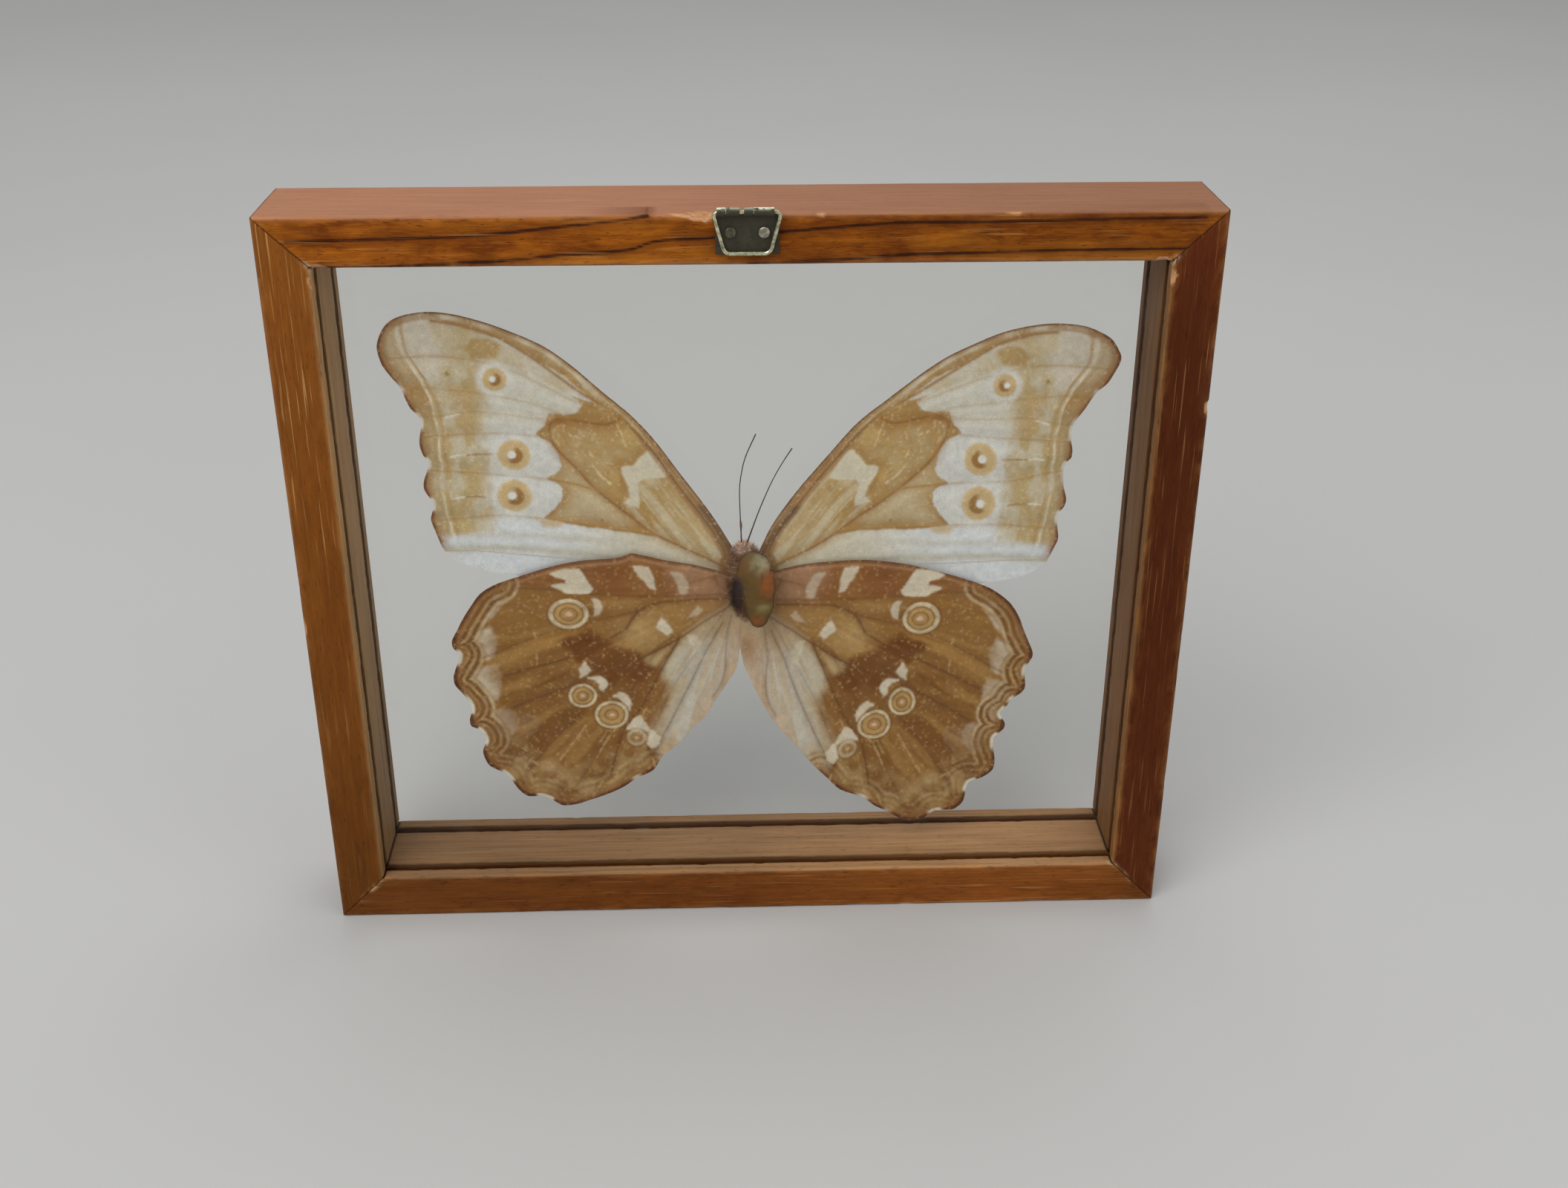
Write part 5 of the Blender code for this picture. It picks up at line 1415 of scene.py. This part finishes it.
def buildWing(name, wing):
    kind, side = wing["kind"], wing["side"]
    spacing, thin = wingSheet["spacing"], wingSheet["halfThick"]
    ring = evenRing(boundaryLoop(name), spacing)
    bulges = outlineBulge(ring, spacing)
    count = len(ring)
    x, z = ring.T
    out = side * x
    outer, low, top = wing["margin"]
    margin = (out > outer) & (z > low) & (z < top)
    costal = z > np.interp(out, [0, 10, 60], wing["lead"])
    if kind == "forewing":
        costal &= ~margin

    frontSpots, frontFaces = triangulate(ring, spacing)
    backSpots, backFaces = triangulate(ring, wingSheet["rearSpacing"])

    def fields(points):
        pattern = points if side < 0 else onLeftPattern(points, kind)
        edge, found = nearestOn(points, ring, margin)
        lead, _ = nearestOn(points, ring, costal)
        return pattern, edge, bulges[found] * np.exp(-edge / 12), lead

    pattern, edge, bulge, lead = fields(frontSpots)
    painter = paintForewing if kind == "forewing" else paintHindwing
    colours = np.clip(painter(pattern, edge, bulge, lead) / light, 0.0, 0.9)
    raised, bent = wingRelief(pattern, kind, wing["seed"])
    rim, _ = nearestOn(frontSpots, ring, np.ones(count, bool))
    frontY = wing["y"] + bent - thin - raised * fadeIn(rim - 0.3, 0.4)
    frontY = np.where(rim < 1e-6, wing["y"] + bent - 0.02, frontY)

    backPattern, backEdge, _, backLead = fields(backSpots)
    raisedBack, bentBack = wingRelief(backPattern, kind, wing["seed"])
    backY = wing["y"] + bentBack + thin + 0.4 * raisedBack
    # the rear sheet shares the front sheet's rim points
    points = np.vstack([
        np.stack([frontSpots[:, 0], frontY, frontSpots[:, 1]], 1),
        np.stack([backSpots[count:, 0], backY[count:], backSpots[count:, 1]], 1),
    ])
    shift = len(frontSpots) - count
    rear = np.where(backFaces < count, backFaces, backFaces + shift)
    faces = np.vstack([frontFaces, rear[:, ::-1]])
    # the roots reach in to the body, and the hindwings meet above their notch
    reach, low, meet = wingRoots[kind]
    near = fadeIn(9 - np.abs(points[:, 0]), 8) * fadeIn(points[:, 2] - low, 5)
    points[:, 0] -= side * near * (reach + meet * fadeIn(points[:, 2] - 58, 5))
    thing = makeMesh(name + "_sheet", points * mm, faces)
    thing.data.set_sharp_from_angle(angle=math.radians(60))
    backColours = paintDorsal(backPattern, backEdge, backLead, kind)
    store(thing, "paint", np.vstack([colours, backColours[count:]]))
    thing.data.materials.append(wingMaterial(name, kind))
    thing.data.materials.append(dorsalMaterial(name))
    slots = np.concatenate([np.zeros(len(frontFaces), np.int32), np.ones(len(rear), np.int32)])
    if len(slots) == len(thing.data.polygons):
        thing.data.polygons.foreach_set("material_index", slots)
    finishPiece(thing, None, "box", kind + "_scales", name)
    print("wing", name, len(thing.data.polygons))


def wingMaterial(name, kind):
    material, tree = newMaterial(name + " scales")
    painted = readField(tree, "paint", "Color")
    scales = noise(tree, place(tree, 5200), detail=2, roughness=0.6)
    cloud = noise(tree, place(tree, 520), detail=5, roughness=0.65)
    bright = calc(tree, "ADD", spread(tree, scales, 0.25, 0.75, 0.84, 1.13),
                  spread(tree, cloud, 0.3, 0.7, -0.07, 0.07))
    colour = dimmed(tree, painted, bright)
    height = calc(tree, "ADD", scales, calc(tree, "MULTIPLY", cloud, 0.6))
    normal = bump(tree, height, 0.3, 0.00005)
    shade(tree, {
        "Base Color": colour, "Roughness": 0.85, "Specular IOR Level": 0.08, "Normal": normal,
    })
    return material


def paintDorsal(p, edge, lead, kind):
    x, z = p.T
    wander = roughNoise(x, z, 6, 71, 3)
    fine = roughNoise(x, z, 1.4, 73)
    blue = np.tile(np.array((0.03, 0.2, 0.62)), (len(p), 1))
    brown = np.array((0.045, 0.025, 0.014))
    if kind == "forewing":
        dark = np.maximum(fadeIn(15 - edge + 2.5 * wander, 9), fadeIn(4.5 - lead + wander, 3.5))
        root = fadeIn(12 - np.hypot(x + 2, z - 70) + 3 * wander, 14)
    else:
        dark = np.maximum(fadeIn(9 - edge + 2 * wander, 6), fadeIn(7 - lead + wander, 6))
        root = fadeIn(14 - np.hypot(x + 2, z - 60) + 3 * wander, 14)
    blue = blendIn(blue, (0.07, 0.42, 0.72), 0.5 * fadeIn(wander, 1.2))
    colours = blendIn(blue, brown, dark)
    colours = blendIn(colours, brown * 1.4, root * 0.8)
    for line, strength in veinLines(kind):
        colours = blendIn(colours, brown, fadeIn(0.4 - lineDistance(p, curved(line)), 0.5) * strength * 0.8)
    return colours * (1 + 0.12 * fine)[:, None]


def dorsalMaterial(name):
    material, tree = newMaterial(name + " upper side")
    painted = readField(tree, "paint", "Color")
    scales = noise(tree, place(tree, 4200), detail=2, roughness=0.6)
    rough = spread(tree, scales, 0.3, 0.7, 0.3, 0.5)
    normal = bump(tree, scales, 0.35, 0.00005)
    shade(tree, {"Base Color": painted, "Metallic": 0.55, "Roughness": rough, "Normal": normal})
    return material


def buildWings():
    for name, wing in wings.items():
        buildWing(name, wing)


# Body: furry thorax, head and eyes behind the glue, all inside the CAD body's own forms
body = {
    "thorax": ((0.2, 0.0, 66.8), (3.6, 3.0, 7.0)), "head": ((-0.5, -0.1, 72.7), (2.0, 1.8, 1.9)),
    "eyes": (((-2.1, -0.4, 73.1), (0.8, 1.0, 1.1)), ((1.1, -0.4, 73.1), (0.8, 1.0, 1.1))),
    "hollow": ((-1.8, 65.4), (0.9, 3.1)), "hairs": {"thorax": (7600, 1.5), "head": (3000, 1.25)},
    "hairWidth": 0.045,
}


def ellipsoid(centre, radii, segments, rings):
    points, faces = [], []
    for ring in range(rings + 1):
        tilt = math.pi * ring / rings
        for segment in range(segments):
            turn = 2 * math.pi * segment / segments
            points.append((
                centre[0] + radii[0] * math.sin(tilt) * math.cos(turn),
                centre[1] + radii[1] * math.sin(tilt) * math.sin(turn),
                centre[2] + radii[2] * math.cos(tilt),
            ))
    return np.array(points), gridFaces(rings + 1, segments)


def furMaterial():
    material, tree = newMaterial("dry brown fur")
    painted = readField(tree, "paint", "Color")
    strands = noise(tree, place(tree, (3500, 3500, 1800)), detail=3, roughness=0.7)
    bright = spread(tree, strands, 0.3, 0.7, 0.65, 1.25)
    colour = dimmed(tree, painted, bright)
    normal = bump(tree, strands, 0.6, 0.00015)
    shade(tree, {"Base Color": colour, "Roughness": 0.85, "Specular IOR Level": 0.3, "Normal": normal})
    return material


def bodyColour(points):
    x, y, z = points.T
    speckle = roughNoise(x + y, z, 0.8, 83, 2)
    colours = evenly(len(points), 106, 74, 48)

    def dab(hue, amount):
        nonlocal colours
        colours = blendIn(colours, paint(*hue)[:3], amount)

    dab((62, 38, 22), fadeIn(speckle - 0.1, 0.8) * 0.8)
    dab((140, 108, 84), fadeIn(z - 68 + speckle, 2.0) * 0.8)
    dab((184, 160, 146), fadeIn(z - 73.2 + speckle, 1.0) * 0.85)
    dab((112, 78, 48), fadeIn(68 - z, 2) * fadeIn(-2.6 - x, 0.6) * 0.8)
    dab((96, 66, 46), fadeIn(64 - z, 3) * 0.6)
    # painted shade: the hollow in the thorax is painted near black
    (hx, hz), (hw, hh) = body["hollow"]
    hollow = fadeIn(1.15 - np.hypot((x - hx) / hw, (z - hz) / hh), 0.5)
    dab((34, 13, 6), hollow * (y < 0.4) * 0.95)
    dab((120, 88, 62), fadeIn(61.6 - z + speckle, 1.5) * 0.7)
    return colours


def buildBody():
    points, faces = [], []
    for centre, radii, segments, rings in ((*body["thorax"], 72, 72), (*body["head"], 48, 36)):
        spots, quads = ellipsoid(centre, radii, segments, rings)
        lump = roughNoise(spots[:, 0] * 1.3 + spots[:, 1], spots[:, 2], 1.3, 87, 3)
        spots = spots + (spots - centre) * (0.05 * lump - 0.03)[:, None]
        (hx, hz), (hw, hh) = body["hollow"]
        dent = np.exp(-(((spots[:, 0] - hx) / hw) ** 2 + ((spots[:, 2] - hz) / hh) ** 2)) * (spots[:, 1] < 0)
        spots[:, 1] += dent * 1.5
        faces += [tuple(index + sum(len(part) for part in points) for index in quad) for quad in quads]
        points.append(spots)
    thing = makeMesh("body_skin", np.vstack(points) * mm, faces)
    turnOut(thing, weld=True)
    spots = spotsOf(thing)
    store(thing, "paint", bodyColour(spots))
    fur = furMaterial()
    finishPiece(thing, fur, "box", "body_fur", "body")

    # hairs, each a bent blade of three triangles
    chance = np.random.default_rng(17)
    blades, cells, roots = [], [], []
    for form, (amount, reach) in body["hairs"].items():
        centre, radii = np.array(body[form])
        way = unit(chance.normal(size=(amount, 3)))
        root = centre + way * radii * 0.95
        out = unit(way / radii)
        drift = chance.normal(size=(amount, 3)) * 0.6
        drift += np.array((0, 0, 0.5)) * np.sign(way[:, 2:3] + 0.4)
        lean = unit(out * 0.55 + drift)
        size = reach * (0.45 + 0.6 * chance.random(amount))[:, None]
        across = np.cross(out, lean)
        across /= np.maximum(np.linalg.norm(across, axis=1)[:, None], 1e-6)
        middle = root + (out * 0.4 + lean * 0.6) * size * 0.5
        tip = root + (out * 0.15 + lean) * size
        across *= body["hairWidth"]
        quint = np.stack([root - across, root + across, middle + across * 0.8, middle - across * 0.8,
                          tip], 1)
        # no hair in the hollow, or through the glue
        (hx, hz), (hw, hh) = body["hollow"]
        bare = (np.hypot((root[:, 0] - hx) / hw, (root[:, 2] - hz) / hh) < 0.9) & (root[:, 1] < 0)
        quint = quint[~bare & (np.abs(tip[:, 1]) < 3.6)]
        roots.append(quint[:, 0])
        blades.append(quint)
    blades = np.vstack(blades)
    for index in range(len(blades)):
        base = index * 5
        cells += [(base, base + 1, base + 2, base + 3), (base + 3, base + 2, base + 4)]
    hair = makeMesh("body_hair", blades.reshape(-1, 3) * mm, cells)
    hues = bodyColour(np.vstack(roots))
    hues = hues * (0.5 + 1.9 * chance.random(len(hues)) ** 2)[:, None]
    store(hair, "paint", np.repeat(hues, 5, axis=0))
    finishPiece(hair, fur, "box", "body_fur")
    print("body", len(blades))

    for index, (centre, radii) in enumerate(body["eyes"]):
        spots, quads = ellipsoid(centre, radii, 28, 20)
        eye = makeMesh(f"body_eye_{index}", spots * mm, quads)
        store(eye, "paint", evenly(len(spots), 84, 60, 46))
        finishPiece(eye, fur, "box", "body_fur")


# Glue: a flattened drop pressed against the pane
glue = {
    "flat": -5.63, "thick": 1.9, "middle": (1.7, 67.9), "lift": 0.5,
    "outline": [
        (0.9, 75.1), (2.3, 74.7), (3.3, 74), (4.1, 73), (4.45, 72.1), (4.3, 71.4), (4.9, 70.8), (5.0, 69.5),
        (5.15, 67.8), (5.0, 66.5), (4.7, 65.2), (4.85, 64.3), (4.6, 63), (4.0, 61.8), (3.5, 60.5),
        (2.7, 59.8), (1.9, 59.6), (1.0, 60), (0.4, 61), (-0.1, 62.2), (-0.3, 63.5), (-0.5, 65),
        (-0.8, 66.5), (-0.9, 68), (-1.2, 69.5), (-1.9, 70.2), (-1.9, 71.5), (-1.5, 73), (-0.8, 74.3),
        (0, 74.9),
    ],
    # the pale grey-green tint near the top, at (2.7, 72.9), is a painted highlight
    "tints": [
        ((-0.6, 73), (2.0, 2.6), (96, 60, 16), 0.9), ((2.7, 72.9), (1.9, 2.1), (138, 132, 102), 0.98),
        ((2.9, 63.7), (1.2, 0.9), (112, 102, 62), 0.9), ((4.3, 69), (1.9, 2.9), (118, 62, 10), 0.95),
        ((1.7, 60.8), (1.3, 1.0), (110, 58, 16), 0.85),
    ],
}


def buildGlue():
    edge = evenRing(np.array(glue["outline"][::-1]), 0.3)
    (cx, cz), thick = glue["middle"], glue["thick"]
    rings, points = 36, []
    for side in (0, 1):
        for ring in range(rings + 1):
            r = math.sin(math.pi / 2 * (ring / rings if side == 0 else 1 - ring / rings))
            rounded = 0.4 * (1 - math.sqrt(1 - max(0.0, (r - 0.78) / 0.22) ** 2))
            y = glue["flat"] + 0.02 + rounded
            if side:
                y = glue["flat"] + 0.42 + (thick - 0.42) * math.sqrt(1 - r * r)
            for ex, ez in edge:
                points.append((cx + (ex - cx) * r, y, cz + (ez - cz) * r + glue["lift"]))
    points, segments = np.array(points), len(edge)
    lumps = roughNoise(points[:, 0], points[:, 2], 1.5, 93, 3)
    points[:, 1] += 0.14 * (1 + lumps) * (np.arange(len(points)) < (rings + 1) * segments)
    thing = makeMesh("glue_drop", points * mm, gridFaces(2 * (rings + 1), segments))
    turnOut(thing, weld=True)
    spots = spotsOf(thing)
    x, y, z = spots.T
    z = z - glue["lift"]
    wander = roughNoise(x, z, 1.6, 91, 3)
    colours = evenly(len(x), 78, 56, 10)
    # tints: the glue's coloured patches, one of them a painted highlight
    for (tx, tz), (wide, tall), hue, strength in glue["tints"]:
        around = np.exp(-((x - tx) / wide) ** 2 - ((z - tz) / tall) ** 2)
        colours = blendIn(colours, paint(*hue)[:3], around * strength * (1 + 0.8 * wander))
    rim = lineDistance(np.stack([x, z], 1), edge, closed=True)
    colours = blendIn(colours, paint(52, 36, 16)[:3], np.exp(-rim / 0.35) * 0.6)
    store(thing, "paint", colours)
    material, tree = newMaterial("dried amber glue")
    painted = readField(tree, "paint", "Color")
    cloud = noise(tree, place(tree, 900), detail=5, roughness=0.6)
    bubbles = noise(tree, place(tree, 3800), detail=2)
    bright = calc(tree, "ADD", spread(tree, cloud, 0.3, 0.7, 0.75, 1.2),
                  spread(tree, bubbles, 0.68, 0.74, 0.0, 0.35))
    colour = dimmed(tree, painted, bright)
    normal = bump(tree, cloud, 0.4, 0.0002)
    shade(tree, {
        "Base Color": colour, "Roughness": spread(tree, cloud, 0.3, 0.7, 0.24, 0.4), "Normal": normal,
        "Specular IOR Level": 0.25, "Subsurface Weight": 0.05, "Subsurface Scale": 1.0,
        "Subsurface Radius": (0.0012, 0.0007, 0.0003), "Coat Weight": 0.15, "Coat Roughness": 0.1,
    })
    finishPiece(thing, material, "box", "dried_glue", "glue_dab")
    print("glue")


# Antennae: thread-thin tubes, the left one with the small swelling that the photograph shows
antennae = {
    "antenna_left": [
        (-0.95, 75.2, 1.15), (-1.0, 77.2, 0.9), (-1.0, 78.0, 1.3), (-1.0, 78.6, 1.9), (-1.05, 79.3, 1.2),
        (-1.1, 80.2, 0.8), (-1.2, 85.4, 0.75), (-0.8, 89.0, 0.75), (0.0, 92.2, 0.8), (1.8, 96.4, 0.9),
    ],
    "antenna_right": [
        (0.15, 75.2, 1.15), (2.3, 81.4, 0.85), (4.5, 86.8, 0.75), (6.4, 90.5, 0.75), (8.3, 93.6, 0.9),
    ],
}


def buildAntennae():
    material, tree = newMaterial("dark thread")
    bands = noise(tree, place(tree, (900, 900, 5200)), detail=2)
    swelling = readField(tree, "swelling")
    colour = mixColour(tree, spread(tree, bands, 0.35, 0.65), (0.012, 0.009, 0.007, 1),
                       (0.05, 0.035, 0.026, 1))
    colour = mixColour(tree, calc(tree, "MULTIPLY", swelling, 0.9), colour, paint(104, 66, 44))
    normal = bump(tree, bands, 0.5, 0.00003)
    shade(tree, {"Base Color": colour, "Roughness": 0.5, "Normal": normal})
    for name, marks in antennae.items():
        line = curved(marks, steps=14)
        path = np.stack([line[:, 0], np.full(len(line), -0.1), line[:, 1]], 1)
        points = tubePoints(path, 0.125 * line[:, 2], 10)
        faces = gridFaces(len(line), 10)
        faces.append(tuple(range(10))[::-1])
        faces.append(tuple(range(len(points) - 10, len(points))))
        thing = makeMesh(name + "_thread", points * mm, faces)
        store(thing, "swelling", np.repeat(np.clip((line[:, 2] - 1.2) / 0.5, 0, 1), 10))
        finishPiece(thing, material, "box", "antenna_black", name)
    print("antennae")


# Camera at the photograph's place, floor and light
camera = {"at": (-4.18, -295.4, 212.7), "lens": 40.69, "pitch": 26.65, "yaw": 2.148, "roll": 0.094}


def buildStage():
    data = bpy.data.cameras.new("view")
    data.lens = camera["lens"]
    data.sensor_width = 36
    data.clip_start = 0.01
    data.clip_end = 50
    eye = bpy.data.objects.new("view", data)
    bpy.context.scene.collection.objects.link(eye)
    turn = Matrix.Rotation(math.radians(-camera["yaw"]), 4, "Z")
    turn = turn @ Matrix.Rotation(math.radians(90 - camera["pitch"]), 4, "X")
    turn = turn @ Matrix.Rotation(math.radians(camera["roll"]), 4, "Z")
    eye.matrix_world = Matrix.Translation(Vector(camera["at"]) * mm) @ turn
    bpy.context.scene.camera = eye

    floor = makeMesh("floor", [(-5, -5, 0), (5, -5, 0), (5, 5, 0), (-5, 5, 0)], [(0, 1, 2, 3)], smooth=False)
    material, tree = newMaterial("pale floor")
    cloud = noise(tree, place(tree, 3), detail=4)
    colour = mixColour(tree, spread(tree, cloud, 0.3, 0.7), (0.6, 0.6, 0.59, 1), (0.63, 0.63, 0.62, 1))
    shade(tree, {"Base Color": colour, "Roughness": 0.8, "Specular IOR Level": 0.2})
    floor.data.materials.append(material)

    world = bpy.data.worlds.new("studio")
    world.use_nodes = True
    bpy.context.scene.world = world
    backdrop = world.node_tree.nodes["Background"]
    backdrop.inputs[0].default_value = (0.9, 0.895, 0.885, 1)
    backdrop.inputs[1].default_value = 0.47
    for name, spot, target, size, power in (
        ("key", (-0.55, -0.75, 0.95), (0, 0, 0.07), 0.9, 7.4),
        ("fill", (0.8, -0.6, 0.5), (0, 0, 0.07), 0.9, 1.7),
        ("top", (0.1, 0.5, 1.1), (0, 0, 0.08), 0.8, 2.4),
    ):
        lamp = bpy.data.lights.new(name, "AREA")
        lamp.shape = "SQUARE"
        lamp.size = size
        lamp.energy = power
        thing = bpy.data.objects.new(name, lamp)
        bpy.context.scene.collection.objects.link(thing)
        thing.location = spot
        thing.rotation_euler = (Vector(target) - Vector(spot)).to_track_quat("-Z", "Y").to_euler()
    bpy.context.scene.view_settings.view_transform = "Standard"
    print("stage")


buildStage()
buildFrame()
buildGlass()
buildPlate()
buildRing()
buildNails()
buildWings()
buildBody()
buildGlue()
buildAntennae()
